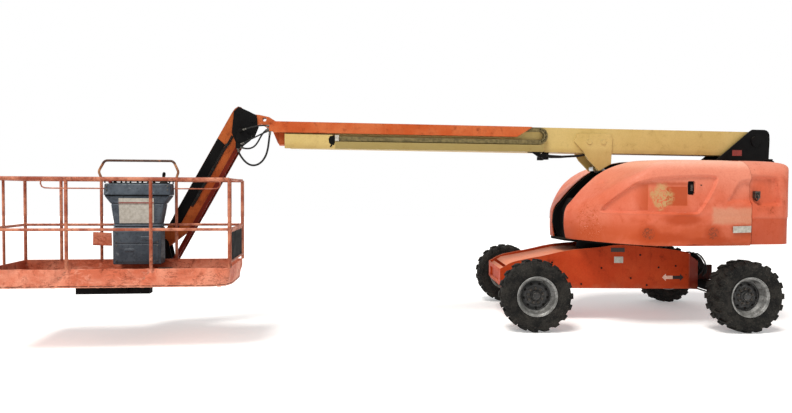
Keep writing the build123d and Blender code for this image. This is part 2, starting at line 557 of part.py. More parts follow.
with BuildPart() as platform_floor:
    brick(PL, -HALF_L - 3, HALF_L + 3, -HALF_W - 3, HALF_W + 3, PLAT_Z, PLAT_Z + TOE_H)
    brick(PL, -HALF_L + 3, HALF_L - 3, -HALF_W + 3, HALF_W - 3, PLAT_Z + 28, PLAT_Z + TOE_H + 5, Mode.SUBTRACT)
save(platform_floor, "platform_floor")

POST_R, TOP_R, MID_R = 17, 19, 15
FOOT = PLAT_Z + TOE_H + 0.3
# rail panel: name, across, posts along
PANELS = [("rail_near", -HALF_W, (-HALF_L, -390, 435, HALF_L)),
          ("rail_far", HALF_W, (-HALF_L, -826, -382, 459, HALF_L))]
for name, across, posts in PANELS:
    with BuildPart() as panel:
        for z, r in ((PLAT_Z + RAIL_Z, TOP_R), (PLAT_Z + MID_Z, MID_R)):
            round_bar(PL.at(-HALF_L, across, z), PL.at(HALF_L, across, z), r)
        for a in posts:
            post(PL, a, across, POST_R, FOOT, PLAT_Z + RAIL_Z)
    save(panel, name)

with BuildPart() as rail_end:
    for z, r in ((PLAT_Z + RAIL_Z, TOP_R), (PLAT_Z + MID_Z, MID_R)):
        round_bar(PL.at(-HALF_L, -HALF_W + 20, z), PL.at(-HALF_L, HALF_W - 20, z), r)
    post(PL, -HALF_L, 0, 14, FOOT, PLAT_Z + RAIL_Z)
save(rail_end, "rail_end")

# the gate closes the other end, hinged by its post beside the near corner
GATE_V = -HALF_W + 58
with BuildPart() as gate_post:
    post(PL, HALF_L, GATE_V - 0, 12, FOOT, FOOT + 40)
    post(PL, HALF_L, GATE_V - 0, 8, FOOT + 39, FOOT + 70)
save(gate_post, "gate_post")
with BuildPart() as gate:
    z0, z1 = FOOT + 44, PLAT_Z + RAIL_Z
    post(PL, HALF_L, GATE_V, 15, z0, z1)
    post(PL, HALF_L, HALF_W - 42, 15, z0, z1)
    for z in (z0 + 15, PLAT_Z + MID_Z, z1):
        round_bar(PL.at(HALF_L, GATE_V, z), PL.at(HALF_L, HALF_W - 42, z), 14)
    brick(PL, HALF_L - 2, HALF_L + 2, GATE_V, HALF_W - 42, z0 + 15, PLAT_Z + MID_Z)
    post(PL, HALF_L, GATE_V, 8.6, z0 - 1, FOOT + 74, Mode.SUBTRACT)
save(gate, "gate")

with BuildPart() as guard_hoop:
    # along, up from the platform's floor
    hoop = [(-382, RAIL_Z + 24), (-412, 1210), (-343, 1337), (428, 1337), (484, 1210), (459, RAIL_Z + 24)]
    with BuildLine(PL.side(HALF_W)) as hoop_path:
        FilletPolyline(*[(a, PLAT_Z + z) for a, z in hoop], radius=55)
    with BuildSketch(Plane(origin=hoop_path.line @ 0, z_dir=hoop_path.line % 0)):
        Circle(14)
    sweep(path=hoop_path.line)
save(guard_hoop, "guard_hoop")

# platform console: along from, along to, up
with BuildPart() as console:
    slab(PL, [(-194, PLAT_Z + 150), (340, PLAT_Z + 150), (345, PLAT_Z + 560), (395, PLAT_Z + 600), (450, PLAT_Z + 960),
              (450, PLAT_Z + 1060), (-292, PLAT_Z + 1075), (-292, PLAT_Z + 960), (-235, PLAT_Z + 600), (-200, PLAT_Z + 560)],
         250, 430)
save(console, "console")

with BuildPart() as document_plate:
    slab(PL, [(-470, PLAT_Z + 358), (-258, PLAT_Z + 350), (-262, PLAT_Z + 500), (-466, PLAT_Z + 512)], 424, 430)
    brick(PL, -385, -379, 430, 437.6, PLAT_Z + 400, PLAT_Z + 470)
save(document_plate, "document_plate")

with BuildPart() as foot_switch:
    brick(PL, 330, 500, -60, 150, PLAT_Z + 28.3, PLAT_Z + 60)
    slab(PL, [(330, PLAT_Z + 60), (500, PLAT_Z + 60), (490, PLAT_Z + 130), (345, PLAT_Z + 130)], 60, 150)
save(foot_switch, "foot_switch")
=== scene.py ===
import bpy
import math
import random
import numpy as np
from math import sin, cos, radians, pi, hypot
from mathutils import Vector, Matrix


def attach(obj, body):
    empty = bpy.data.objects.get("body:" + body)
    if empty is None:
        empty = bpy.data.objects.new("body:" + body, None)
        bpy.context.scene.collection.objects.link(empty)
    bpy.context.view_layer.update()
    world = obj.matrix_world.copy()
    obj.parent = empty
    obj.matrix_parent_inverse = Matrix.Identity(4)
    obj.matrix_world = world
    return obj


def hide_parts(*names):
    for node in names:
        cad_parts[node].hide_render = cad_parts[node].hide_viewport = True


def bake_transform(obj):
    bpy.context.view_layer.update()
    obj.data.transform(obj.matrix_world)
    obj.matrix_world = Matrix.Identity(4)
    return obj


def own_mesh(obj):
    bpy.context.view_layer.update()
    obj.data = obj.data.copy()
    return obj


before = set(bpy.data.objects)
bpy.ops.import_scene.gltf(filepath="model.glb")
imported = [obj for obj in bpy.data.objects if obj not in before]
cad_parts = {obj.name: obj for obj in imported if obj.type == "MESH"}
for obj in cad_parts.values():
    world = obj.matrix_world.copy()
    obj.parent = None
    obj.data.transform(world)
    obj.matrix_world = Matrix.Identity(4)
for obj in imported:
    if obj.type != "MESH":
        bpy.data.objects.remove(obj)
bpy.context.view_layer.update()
random.seed(7)
scene = bpy.context.scene
scene.view_settings.view_transform = "Standard"


# ------------------------------------------------------------------ frames, millimetres to metres
def yard(x, y, yaw):
    c, s = cos(radians(yaw)), sin(radians(yaw))
    return lambda u, v, z: Vector((x + u * c - v * s, y + u * s + v * c, z)) / 1000


CH, UP, PL = yard(0, 0, 0), yard(0, 0, 8.7), yard(-5907, -1654, 5.53)
UC, US = cos(radians(8.7)), sin(radians(8.7))
PC, PS = cos(radians(5.53)), sin(radians(5.53))
JIB_A, JIB_DOWN = (-4914, 2636), radians(61.4)


def jib(t, depth, v):
    """A point on the jib: distance along from the upper pin, depth below the upper edge, across."""
    return UP(JIB_A[0] - t * cos(JIB_DOWN) + (depth - 65) * sin(JIB_DOWN), v,
              JIB_A[1] - t * sin(JIB_DOWN) - (depth - 65) * cos(JIB_DOWN))


def JF(t, v, depth):
    return jib(t, depth, v)


# ------------------------------------------------------------------ camera
cam_data = bpy.data.cameras.new("cam")
cam = bpy.data.objects.new("cam", cam_data)
scene.collection.objects.link(cam)
scene.camera = cam
cam_data.lens, cam_data.sensor_width = 27.45, 36
yaw, pitch, roll = 0.00328, 0.02564, 0.004545
fwd = Vector((sin(yaw) * cos(pitch), cos(yaw) * cos(pitch), -sin(pitch)))
right0 = fwd.cross(Vector((0, 0, 1))).normalized()
up0 = right0.cross(fwd)
right = right0 * cos(roll) + up0 * sin(roll)
upv = up0 * cos(roll) - right0 * sin(roll)
rot = Matrix((right, upv, -fwd)).transposed()
cam.matrix_world = Matrix.Translation((-2.9452, -8.2378, 1.6719)) @ rot.to_4x4()


# ------------------------------------------------------------------ materials
def C(r, g, b):
    f = lambda x: (x / 12.92) if x <= 0.04045 else ((x + 0.055) / 1.055) ** 2.4
    return (f(r / 255), f(g / 255), f(b / 255), 1)


class Mat:
    def __init__(self, name):
        self.m = bpy.data.materials.new(name)
        self.m.use_nodes = True
        self.t = self.m.node_tree
        self.t.nodes.clear()
        self.out = self.add("ShaderNodeOutputMaterial")
        self.b = self.add("ShaderNodeBsdfPrincipled")
        self.t.links.new(self.b.outputs[0], self.out.inputs[0])
        self.co = self.add("ShaderNodeTexCoord").outputs["Object"]
        self.geo = self.add("ShaderNodeNewGeometry")

    def add(self, kind, **props):
        n = self.t.nodes.new(kind)
        for k, v in props.items():
            setattr(n, k, v)
        return n

    def put(self, sock, val):
        if isinstance(val, bpy.types.NodeSocket):
            self.t.links.new(val, sock)
        else:
            sock.default_value = val

    def math(self, op, a, b=0.0, clamp=False):
        n = self.add("ShaderNodeMath", operation=op, use_clamp=clamp)
        self.put(n.inputs[0], a)
        self.put(n.inputs[1], b)
        return n.outputs[0]

    def mul(self, a, b):
        return self.math("MULTIPLY", a, b)

    def vmul(self, v, k):
        n = self.add("ShaderNodeVectorMath", operation="MULTIPLY")
        self.put(n.inputs[0], v)
        n.inputs[1].default_value = k
        return n.outputs[0]

    def dot(self, v, k):
        n = self.add("ShaderNodeVectorMath", operation="DOT_PRODUCT")
        self.put(n.inputs[0], v)
        if isinstance(k, bpy.types.NodeSocket):
            self.put(n.inputs[1], k)
        else:
            n.inputs[1].default_value = k
        return n.outputs["Value"]

    def noise(self, scale, detail=3.0, rough=0.55, distort=0.0, vec=None):
        n = self.add("ShaderNodeTexNoise")
        self.put(n.inputs["Vector"], vec if vec is not None else self.co)
        n.inputs["Scale"].default_value = scale
        n.inputs["Detail"].default_value = detail
        n.inputs["Roughness"].default_value = rough
        n.inputs["Distortion"].default_value = distort
        return n.outputs["Fac"]

    def cells(self, scale, vec=None):
        n = self.add("ShaderNodeTexVoronoi")
        self.put(n.inputs["Vector"], vec if vec is not None else self.co)
        n.inputs["Scale"].default_value = scale
        return n.outputs["Distance"]

    def step(self, x, lo, hi, a=0.0, b=1.0):
        n = self.add("ShaderNodeMapRange", interpolation_type="SMOOTHSTEP", clamp=True)
        self.put(n.inputs[0], x)
        for i, v in enumerate((lo, hi, a, b)):
            n.inputs[i + 1].default_value = v
        return n.outputs[0]

    def mix(self, f, a, b, kind="MIX"):
        n = self.add("ShaderNodeMix", data_type="RGBA", blend_type=kind)
        self.put(n.inputs[0], f)
        self.put(n.inputs[6], a)
        self.put(n.inputs[7], b)
        return n.outputs[2]

    def bump(self, h, dist, strength=1.0, normal=None):
        n = self.add("ShaderNodeBump")
        self.put(n.inputs["Height"], h)
        n.inputs["Distance"].default_value = dist
        n.inputs["Strength"].default_value = strength
        if normal is not None:
            self.put(n.inputs["Normal"], normal)
        return n.outputs[0]

    def edge(self, radius, lo=0.01, hi=0.12):
        """A mask of the edges, and the normal rounded by the same radius."""
        n = self.add("ShaderNodeBevel", samples=4)
        n.inputs["Radius"].default_value = radius
        d = self.dot(n.outputs[0], self.geo.outputs["Normal"])
        return self.step(self.math("SUBTRACT", 1.0, d), lo, hi), n.outputs[0]

    def along(self, c=UC, s=US):
        return self.dot(self.co, (c, s, 0))

    def across(self):
        return self.dot(self.co, (-US, UC, 0))

    def height(self):
        return self.dot(self.co, (0, 0, 1))

    def ellipse(self, x, z, x0, z0, rx, rz, soft=0.3, wob=0.25, scale=9.0):
        """1 inside the ellipse, with an uneven edge. Metres."""
        a = self.math("DIVIDE", self.math("SUBTRACT", x, x0), rx)
        b = self.math("DIVIDE", self.math("SUBTRACT", z, z0), rz)
        r = self.math("SQRT", self.math("ADD", self.mul(a, a), self.mul(b, b)))
        r = self.math("ADD", r, self.mul(self.math("SUBTRACT", self.noise(scale, 4), 0.5), wob * 2))
        return self.step(r, 1 - soft, 1 + soft, 1.0, 0.0)

    def rect(self, x, z, x0, z0, hx, hz, soft=0.01, wob=0.0, scale=12.0):
        a = self.math("SUBTRACT", self.math("ABSOLUTE", self.math("SUBTRACT", x, x0)), hx)
        b = self.math("SUBTRACT", self.math("ABSOLUTE", self.math("SUBTRACT", z, z0)), hz)
        d = self.math("MAXIMUM", a, b)
        if wob:
            d = self.math("ADD", d, self.mul(self.math("SUBTRACT", self.noise(scale, 4), 0.5), wob * 2))
        return self.step(d, -soft, soft, 1.0, 0.0)


def paint(name, base, light, dark, rust=C(74, 38, 22), bare=C(150, 140, 130), fade=0.6, grime=0.5, rusty=0.35,
          wear=0.5, rough=(0.42, 0.72), metal=0.0, edge=0.004, bump=0.35, scale=1.0, streaks=0.4, spec=0.4, extra=None,
          dents=0.0, dust=0.0):
    """Old paint: slow fading, blotches, run-down streaks, rust specks, and chipped, lighter edges."""
    s = Mat(name)
    slow = s.noise(1.6 * scale, 4, 0.62, 0.5)
    mid = s.noise(8 * scale, 5, 0.62, 0.3)
    fine = s.noise(55 * scale, 5, 0.65)
    tiny = s.noise(330 * scale, 3, 0.6)
    run = s.noise(1.0, 4, 0.6, 0.2, vec=s.vmul(s.co, (26 * scale, 26 * scale, 1.6 * scale)))
    col = s.mix(s.mul(s.step(slow, 0.36, 0.66), fade), base, light)
    col = s.mix(s.mul(s.step(mid, 0.52, 0.74), fade * 0.75), col, dark)
    col = s.mix(s.mul(s.step(run, 0.54, 0.78), streaks * 0.6), col, dark)
    if extra:
        col = extra(s, col)
    col = s.mix(s.mul(s.step(fine, 0.35, 0.75), 0.22), col, dark)
    speck = s.step(s.math("ADD", s.mul(fine, 0.6), s.mul(mid, 0.5)), 0.665, 0.71)
    col = s.mix(s.mul(speck, rusty), col, rust)
    scratch = s.noise(1.0, 3, 0.6, 0.6, vec=s.vmul(s.co, (9 * scale, 9 * scale, 130 * scale)))
    sm = s.mul(s.step(scratch, 0.70, 0.74), s.step(mid, 0.45, 0.62))
    col = s.mix(s.mul(sm, wear * 0.8), col, light)
    em, rounded = s.edge(edge)
    chip = s.mul(em, s.step(fine, 0.40, 0.58))
    col = s.mix(s.mul(chip, wear), col, bare)
    rim_rust = s.mul(em, s.step(mid, 0.47, 0.6))
    col = s.mix(s.mul(rim_rust, rusty * 0.9), col, rust)
    if dust:
        top = s.step(s.dot(s.geo.outputs["Normal"], (0, 0, 1)), 0.3, 0.95)
        col = s.mix(s.mul(s.mul(top, s.step(mid, 0.3, 0.65)), dust), col, C(168, 156, 140))
    s.put(s.b.inputs["Base Color"], col)
    r = s.step(s.math("ADD", s.mul(mid, 0.6), s.mul(fine, 0.4)), 0.3, 0.7, rough[0], rough[1])
    r = s.math("ADD", r, s.mul(speck, 0.2), clamp=True)
    s.put(s.b.inputs["Roughness"], r)
    s.b.inputs["Metallic"].default_value = metal
    s.b.inputs["Specular IOR Level"].default_value = spec
    h = s.math("ADD", s.mul(fine, 0.4), s.mul(tiny, 0.15))
    h = s.math("SUBTRACT", h, s.mul(chip, 0.5))
    n = s.bump(h, 0.0016, bump, rounded)
    if dents:
        n = s.bump(s.noise(5 * scale, 2, 0.5), 0.03, dents, n)
    s.put(s.b.inputs["Normal"], n)
    return s.m


def plain(name, a, b, rough=(0.4, 0.7), metal=0.0, scale=20.0, bump=0.2, spec=0.5, edge=0.0, hi=None, wear=0.0):
    """A simple worn surface in two tones."""
    s = Mat(name)
    n1, n2 = s.noise(scale, 5, 0.6), s.noise(scale * 9, 4, 0.6)
    col = s.mix(s.step(s.math("ADD", s.mul(n1, 0.7), s.mul(n2, 0.3)), 0.36, 0.64), a, b)
    normal = None
    if edge:
        em, normal = s.edge(edge)
        col = s.mix(s.mul(s.mul(em, s.step(n2, 0.35, 0.6)), wear), col, hi or b)
    s.put(s.b.inputs["Base Color"], col)
    s.put(s.b.inputs["Roughness"], s.step(n1, 0.3, 0.7, rough[0], rough[1]))
    s.b.inputs["Metallic"].default_value = metal
    s.b.inputs["Specular IOR Level"].default_value = spec
    s.put(s.b.inputs["Normal"], s.bump(n2, 0.001, bump, normal))
    return s.m


def hood_marks(s, col):
    """Fading that only the near and far sides of the hoods show: unfaded patches, a washed-out patch and scuffs. Also
    painted highlight towards the top, and painted shade low down, inside the window recess and under its top edge.
    """
    u, z, v = s.along(), s.height(), s.math("ABSOLUTE", s.across())
    side = s.step(v, 0.90, 0.99)
    deep, mid = C(168, 62, 20), C(184, 78, 38)
    painted_top_highlight, tan = C(226, 152, 128), C(196, 150, 120)
    # painted highlight: paler towards the top, more so over the brow
    col = s.mix(s.mul(s.step(z, 1.5, 2.05), 0.6), col, painted_top_highlight)
    col = s.mix(s.mul(s.step(z, 1.93, 2.07), 0.7), col, C(246, 190, 166))
    # painted shade: darker low down, deepening towards the bottom, with blotches of dirt in the band
    col = s.mix(s.mul(s.step(z, 1.45, 1.12), s.mul(s.step(s.noise(3.2, 5, 0.6, 0.4), 0.30, 0.56), 0.8)), col, mid)
    col = s.mix(s.mul(s.step(z, 1.36, 1.16), 0.45), col, C(178, 72, 30))
    # painted shade inside the window recess, and a painted shadow under its top edge
    inside = s.mul(s.rect(u, z, 0.09, 1.62, 0.42, 0.17, 0.03, 0.05, 7), side)
    col = s.mix(s.mul(inside, 0.35), col, mid)
    shade = s.mul(s.rect(u, z, 0.09, 1.775, 0.42, 0.016, 0.02, 0.03, 7), side)
    col = s.mix(s.mul(shade, 0.55), col, C(150, 58, 24))
    for m in (s.rect(u, z, -0.12, 1.61, 0.095, 0.155, 0.006), s.rect(u, z, 0.335, 1.625, 0.135, 0.115, 0.006)):
        col = s.mix(s.mul(s.mul(m, side), 0.85), col, s.mix(s.noise(30, 4), deep, C(170, 74, 36)))
    for x0, z0, rx, rz in ((-0.03, 1.17, 0.11, 0.11), (0.80, 1.165, 0.12, 0.10), (0.40, 1.34, 0.24, 0.07),
                           (-0.42, 1.33, 0.24, 0.055), (0.1, 1.12, 0.35, 0.06), (0.75, 1.08, 0.30, 0.05)):
        col = s.mix(s.mul(s.mul(s.ellipse(u, z, x0, z0, rx, rz, 0.45, 0.35, 12), side), 0.85), col, deep)
    col = s.mix(s.mul(s.mul(s.rect(u, z, 1.06, 1.385, 0.27, 0.10, 0.03, 0.03), side), 0.55), col, tan)
    left = s.ellipse(u, z, 0.15, 1.62, 0.13, 0.14, 0.25, 0.75, 9)
    left = s.mul(s.mul(left, s.step(s.noise(17, 6, 0.7, 1.4), 0.43, 0.49)), side)
    col = s.mix(s.mul(left, 0.72), col, s.mix(s.noise(40, 4), C(168, 146, 86), C(186, 168, 120)))
    for x0 in (-0.03, 0.80):        # two round rusty patches
        ring = s.mul(s.ellipse(u, z, x0, 1.17, 0.075, 0.075, 0.1, 0.08), side)
        col = s.mix(s.mul(s.mul(ring, s.step(s.noise(60, 5, 0.7), 0.46, 0.56)), 0.75), col, C(92, 52, 34))
    # scuffed through at the nose
    nose = s.mul(s.ellipse(u, z, -0.585, 1.30, 0.10, 0.22, 0.4, 0.5, 10), s.step(v, 0.35, 0.5))
    worn = s.step(s.noise(38, 6, 0.72, 0.8), 0.52, 0.60)
    col = s.mix(s.mul(s.mul(nose, worn), 0.9), col, C(176, 70, 24))
    col = s.mix(s.mul(s.mul(nose, s.step(s.noise(52, 6, 0.75, 1.2), 0.60, 0.66)), 0.8), col, C(236, 190, 168))
    return col


def cream_marks(s, col):
    z, v = s.height(), s.across()
    # painted shade: darker towards the bottom of the boom
    col = s.mix(s.step(z, 2.27, 2.20, 0.0, 0.35), col, C(150, 116, 62))
    # painted shade on the trough's lip under the carrier's lower run
    lip = s.mul(s.step(v, -0.136, -0.142), s.mul(s.step(z, 2.30, 2.285), s.step(s.along(), -3.76, -3.74)))
    lip = s.mul(lip, s.step(s.along(), -1.03, -1.05))
    col = s.mix(s.mul(s.step(s.noise(2.2, 4, 0.6), 0.4, 0.6), 0.3), col, C(208, 182, 118))
    return s.mix(s.mul(lip, 0.75), col, C(134, 118, 70))


def tray_marks(s, col):
    """Rust line over the rolled lower edge, a paler strip below it, and on the toe boards dark creases of painted shade
    with lighter bands of painted highlight beside them.
    """
    z = s.height()
    wave = s.math("ADD", z, s.mul(s.noise(9, 5, 0.7, 0.8), 0.012))
    line = s.mul(s.step(wave, 0.688, 0.692), s.step(wave, 0.703, 0.697))
    col = s.mix(s.mul(s.step(z, 0.691, 0.686), 0.55), col, C(214, 150, 122))
    col = s.mix(s.mul(line, s.mul(s.step(s.noise(16, 4, 0.6), 0.36, 0.5), 0.9)), col, C(66, 30, 20))
    slant = s.noise(1.0, 4, 0.65, 0.9, vec=s.vmul(s.co, (5, 5, 13)))
    # painted shade: dark lines along slanting creases
    crease = s.mul(s.step(slant, 0.47, 0.495), s.step(slant, 0.525, 0.50))
    col = s.mix(s.mul(crease, s.mul(s.step(s.noise(4, 3), 0.4, 0.55), 0.6)), col, C(112, 50, 32))
    # painted highlight: lighter bands beside the creases
    return s.mix(s.mul(s.step(slant, 0.56, 0.66), 0.45), col, C(232, 160, 134))


def hoop_marks(s, col):
    """Paint gone and blackened where hands hold the top bar."""
    top = s.mul(s.step(s.height(), 1.965, 1.985), s.step(s.noise(11, 4, 0.6), 0.34, 0.46))
    return s.mix(s.mul(top, 0.85), col, C(50, 28, 20))


def chassis_marks(s, col):
    z, x = s.height(), s.dot(s.co, (1, 0, 0))
    # painted highlight: faces that look upwards are paler
    top = s.step(s.dot(s.geo.outputs["Normal"], (0, 0, 1)), 0.35, 0.8)
    col = s.mix(s.mul(top, 0.75), col, C(226, 146, 110))
    col = s.mix(s.mul(s.step(z, 0.62, 0.42), 0.35), col, C(150, 48, 22))
    col = s.mix(s.mul(s.step(x, 0.885, 0.90), 0.7), col, C(112, 24, 8))
    col = s.mix(s.mul(s.step(x, 1.045, 1.055), 0.93), col, C(16, 15, 15))
    col = s.mix(s.mul(s.step(s.math("ADD", z, s.mul(s.noise(6, 4), 0.25)), 0.62, 0.5), 0.35), col, C(176, 110, 78))
    return col


M = {}
M["chassis"] = paint("chassis_paint", C(180, 58, 20), C(194, 78, 38), C(132, 36, 12), fade=0.6, rusty=0.45,
                     rough=(0.45, 0.66), spec=0.12, extra=chassis_marks, dents=0.10)
M["hood"] = paint("hood_plastic", C(204, 98, 68), C(216, 126, 100), C(182, 76, 44), rust=C(150, 66, 30),
                  bare=C(240, 190, 170), fade=0.65, rusty=0.12, wear=0.45, rough=(0.38, 0.62), streaks=0.3, edge=0.006,
                  bump=0.18, spec=0.2, extra=hood_marks)
# counterweight: darker below the lower band, and paler towards the top as painted highlight
M["weight"] = paint("counterweight_iron", C(200, 94, 64), C(212, 122, 96), C(164, 66, 38), rust=C(96, 46, 26),
                    bare=C(120, 70, 48), fade=0.7, rusty=0.5, wear=0.55, rough=(0.5, 0.78), streaks=0.6, edge=0.007,
                    bump=0.5, dents=0.12, spec=0.2, extra=lambda s, c: s.mix(
                        s.mul(s.step(s.height(), 1.37, 1.34), 0.62), s.mix(s.mul(s.step(s.height(), 1.75, 2.06), 0.55), c,
                                                                         C(232, 158, 134)), C(168, 62, 28)))
M["boom"] = paint("boom_paint", C(194, 166, 98), C(208, 184, 122), C(156, 128, 72), rust=C(112, 74, 42),
                  bare=C(232, 214, 170), fade=0.5, rusty=0.22, wear=0.4, rough=(0.38, 0.62), streaks=0.35, edge=0.007,
                  bump=0.2, dents=0.05, spec=0.22, extra=cream_marks)
M["orange"] = paint("orange_paint", C(184, 80, 34), C(200, 108, 62), C(124, 46, 20), rust=C(70, 32, 16),
                    bare=C(208, 140, 100), fade=0.8, rusty=0.55, wear=0.7, rough=(0.45, 0.75), scale=1.6, edge=0.005, spec=0.14)
M["jib"] = paint("jib_paint", C(152, 66, 24), C(176, 90, 42), C(84, 30, 12), rust=C(46, 22, 12), bare=C(150, 90, 56),
                 fade=0.85, rusty=0.6, wear=0.6, scale=1.8, streaks=0.7, edge=0.005, spec=0.12)
# a darker copy of the jib's orange: painted shade on the jib's lower links
M["link"] = paint("link_paint", C(96, 24, 12), C(118, 38, 20), C(50, 14, 8), rust=C(34, 16, 10), fade=0.6, rusty=0.5, spec=0.1)
M["black"] = paint("black_steel", C(13, 13, 14), C(27, 26, 25), C(8, 8, 9), rust=C(46, 27, 18), bare=C(70, 66, 62),
                   fade=0.5, rusty=0.25, wear=0.5, rough=(0.48, 0.75), streaks=0.35, edge=0.004, dust=0.12, spec=0.07)
M["matt_black"] = paint("matt_black", C(11, 11, 12), C(24, 23, 22), C(7, 7, 8), rust=C(40, 26, 18),
                        bare=C(60, 56, 52), rusty=0.2, wear=0.3, rough=(0.6, 0.85), dust=0.1, spec=0.06)
M["platform"] = paint("platform_paint", C(196, 100, 70), C(224, 146, 118), C(126, 52, 30), rust=C(62, 28, 18),
                      bare=C(226, 178, 150), fade=0.85, rusty=0.6, wear=0.75, rough=(0.48, 0.78), scale=1.8, streaks=0.55,
                      edge=0.004, spec=0.25, extra=tray_marks)
M["rail"] = paint("rail_paint", C(146, 64, 36), C(204, 130, 98), C(70, 30, 18), rust=C(42, 22, 16), bare=C(222, 190, 160),
                  fade=0.95, rusty=0.7, wear=0.8, rough=(0.45, 0.75), scale=3.2, streaks=0.5, edge=0.003)
M["hoop"] = paint("hoop_paint", C(132, 78, 46), C(196, 140, 96), C(40, 22, 16), rust=C(26, 18, 14), bare=C(214, 190, 160),
                  fade=0.95, rusty=0.8, wear=0.7, scale=4.0, edge=0.003, extra=hoop_marks)
M["rubber"] = plain("hose_rubber", C(14, 14, 15), C(34, 33, 31), rough=(0.5, 0.75), scale=30, bump=0.3, spec=0.25)
M["carrier"] = plain("carrier_plastic", C(82, 72, 44), C(128, 114, 76), rough=(0.6, 0.85), scale=26, bump=0.4, spec=0.2)
M["chrome"] = plain("rod_chrome", C(196, 198, 200), C(150, 150, 150), rough=(0.12, 0.3), metal=1.0, scale=12, bump=0.05)
M["steel"] = plain("worn_steel", C(84, 78, 72), C(48, 42, 38), rough=(0.35, 0.6), metal=0.7, scale=40, bump=0.4,
                   edge=0.002, hi=C(190, 184, 176), wear=0.7)
M["zinc"] = plain("zinc", C(120, 118, 112), C(70, 66, 60), rough=(0.3, 0.5), metal=0.8, scale=60, bump=0.2)
M["engine"] = paint("engine_iron", C(44, 45, 47), C(70, 68, 66), C(22, 22, 23), rusty=0.4, wear=0.3, dust=0.4)
M["tank"] = plain("tank_plastic", C(26, 27, 28), C(56, 54, 52), rough=(0.5, 0.75), scale=14, bump=0.25, edge=0.004,
                  hi=C(90, 88, 84), wear=0.5)
M["box"] = paint("control_box", C(46, 48, 52), C(78, 78, 78), C(24, 25, 27), rusty=0.2, dust=0.3)
M["white"] = plain("blank_white", C(190, 186, 176), C(160, 154, 142), rough=(0.4, 0.6), scale=30, bump=0.2)
M["red"] = plain("red_mark", C(158, 44, 30), C(98, 30, 22), rough=(0.4, 0.6), scale=90, bump=0.1)
M["dark_mark"] = plain("dark_mark", C(28, 20, 18), C(58, 36, 28), rough=(0.45, 0.6), scale=60, bump=0.1)
M["pale_mark"] = plain("pale_mark", C(232, 196, 178), C(214, 156, 132), rough=(0.45, 0.6), scale=60, bump=0.1)
M["cream_step"] = plain("light_grey", C(206, 202, 192), C(150, 144, 132), rough=(0.45, 0.65), scale=30, bump=0.2)


def tyre_material():
    s = Mat("tyre_rubber")
    a, b, c = s.noise(7, 5, 0.6), s.noise(60, 5, 0.7), s.noise(260, 3)
    dirt = s.step(s.math("ADD", s.mul(a, 0.6), s.mul(b, 0.4)), 0.40, 0.62)
    col = s.mix(dirt, C(19, 19, 19), C(47, 45, 42))
    col = s.mix(s.mul(s.step(b, 0.56, 0.74), 0.5), col, C(88, 83, 76))
    em, n = s.edge(0.004)
    col = s.mix(s.mul(em, 0.5), col, C(86, 82, 76))
    s.put(s.b.inputs["Base Color"], col)
    s.put(s.b.inputs["Roughness"], s.step(a, 0.3, 0.7, 0.7, 0.9))
    s.b.inputs["Specular IOR Level"].default_value = 0.1
    s.put(s.b.inputs["Normal"], s.bump(s.math("ADD", b, s.mul(c, 0.4)), 0.0022, 0.6, n))
    return s.m


def rim_material(name, a, b, dirt):
    s = Mat(name)
    n1, n2, n3 = s.noise(9, 4, 0.6), s.noise(48, 5, 0.66), s.noise(200, 3)
    col = s.mix(s.step(n1, 0.38, 0.62), a, b)
    col = s.mix(s.mul(s.step(n2, 0.48, 0.66), 0.7), col, dirt)
    em, n = s.edge(0.003)
    col = s.mix(s.mul(s.mul(em, s.step(n2, 0.4, 0.55)), 0.6), col, C(208, 204, 196))
    s.put(s.b.inputs["Base Color"], col)
    s.put(s.b.inputs["Roughness"], s.step(n2, 0.3, 0.7, 0.35, 0.62))
    s.b.inputs["Metallic"].default_value = 0.35
    s.put(s.b.inputs["Normal"], s.bump(n3, 0.001, 0.3, n))
    return s.m


M["tyre"] = tyre_material()
M["rim"] = rim_material("rim_paint", C(186, 186, 184), C(150, 150, 148), C(96, 90, 82))
# a darker copy of the rim's grey: painted shade on the barrel and the bend out to the flange
M["rim_mid"] = rim_material("rim_barrel_painted_shade", C(150, 150, 148), C(108, 108, 106), C(66, 62, 56))
M["rim_dark"] = rim_material("rim_disc", C(64, 64, 64), C(42, 42, 42), C(24, 23, 22))


def console_material():
    s = Mat("console_plastic")
    n1, n2, n3 = s.noise(4, 4, 0.6), s.noise(36, 5, 0.7), s.noise(420, 2)
    col = s.mix(s.step(n1, 0.36, 0.64), C(50, 60, 71), C(72, 82, 92))
    col = s.mix(s.mul(s.step(n2, 0.50, 0.66), 0.6), col, C(26, 31, 38))
    col = s.mix(s.mul(s.step(s.noise(16, 6, 0.75, 1.0), 0.60, 0.68), 0.6), col, C(124, 132, 138))
    em, n = s.edge(0.006)
    # painted highlight: all edges evenly paler
    col = s.mix(s.mul(em, 0.55), col, C(136, 144, 150))
    s.put(s.b.inputs["Base Color"], col)
    s.put(s.b.inputs["Roughness"], s.step(n2, 0.3, 0.7, 0.42, 0.7))
    s.put(s.b.inputs["Normal"], s.bump(s.math("ADD", s.mul(n3, 0.6), s.mul(n2, 0.5)), 0.0015, 0.4, n))
    return s.m


M["console"] = console_material()


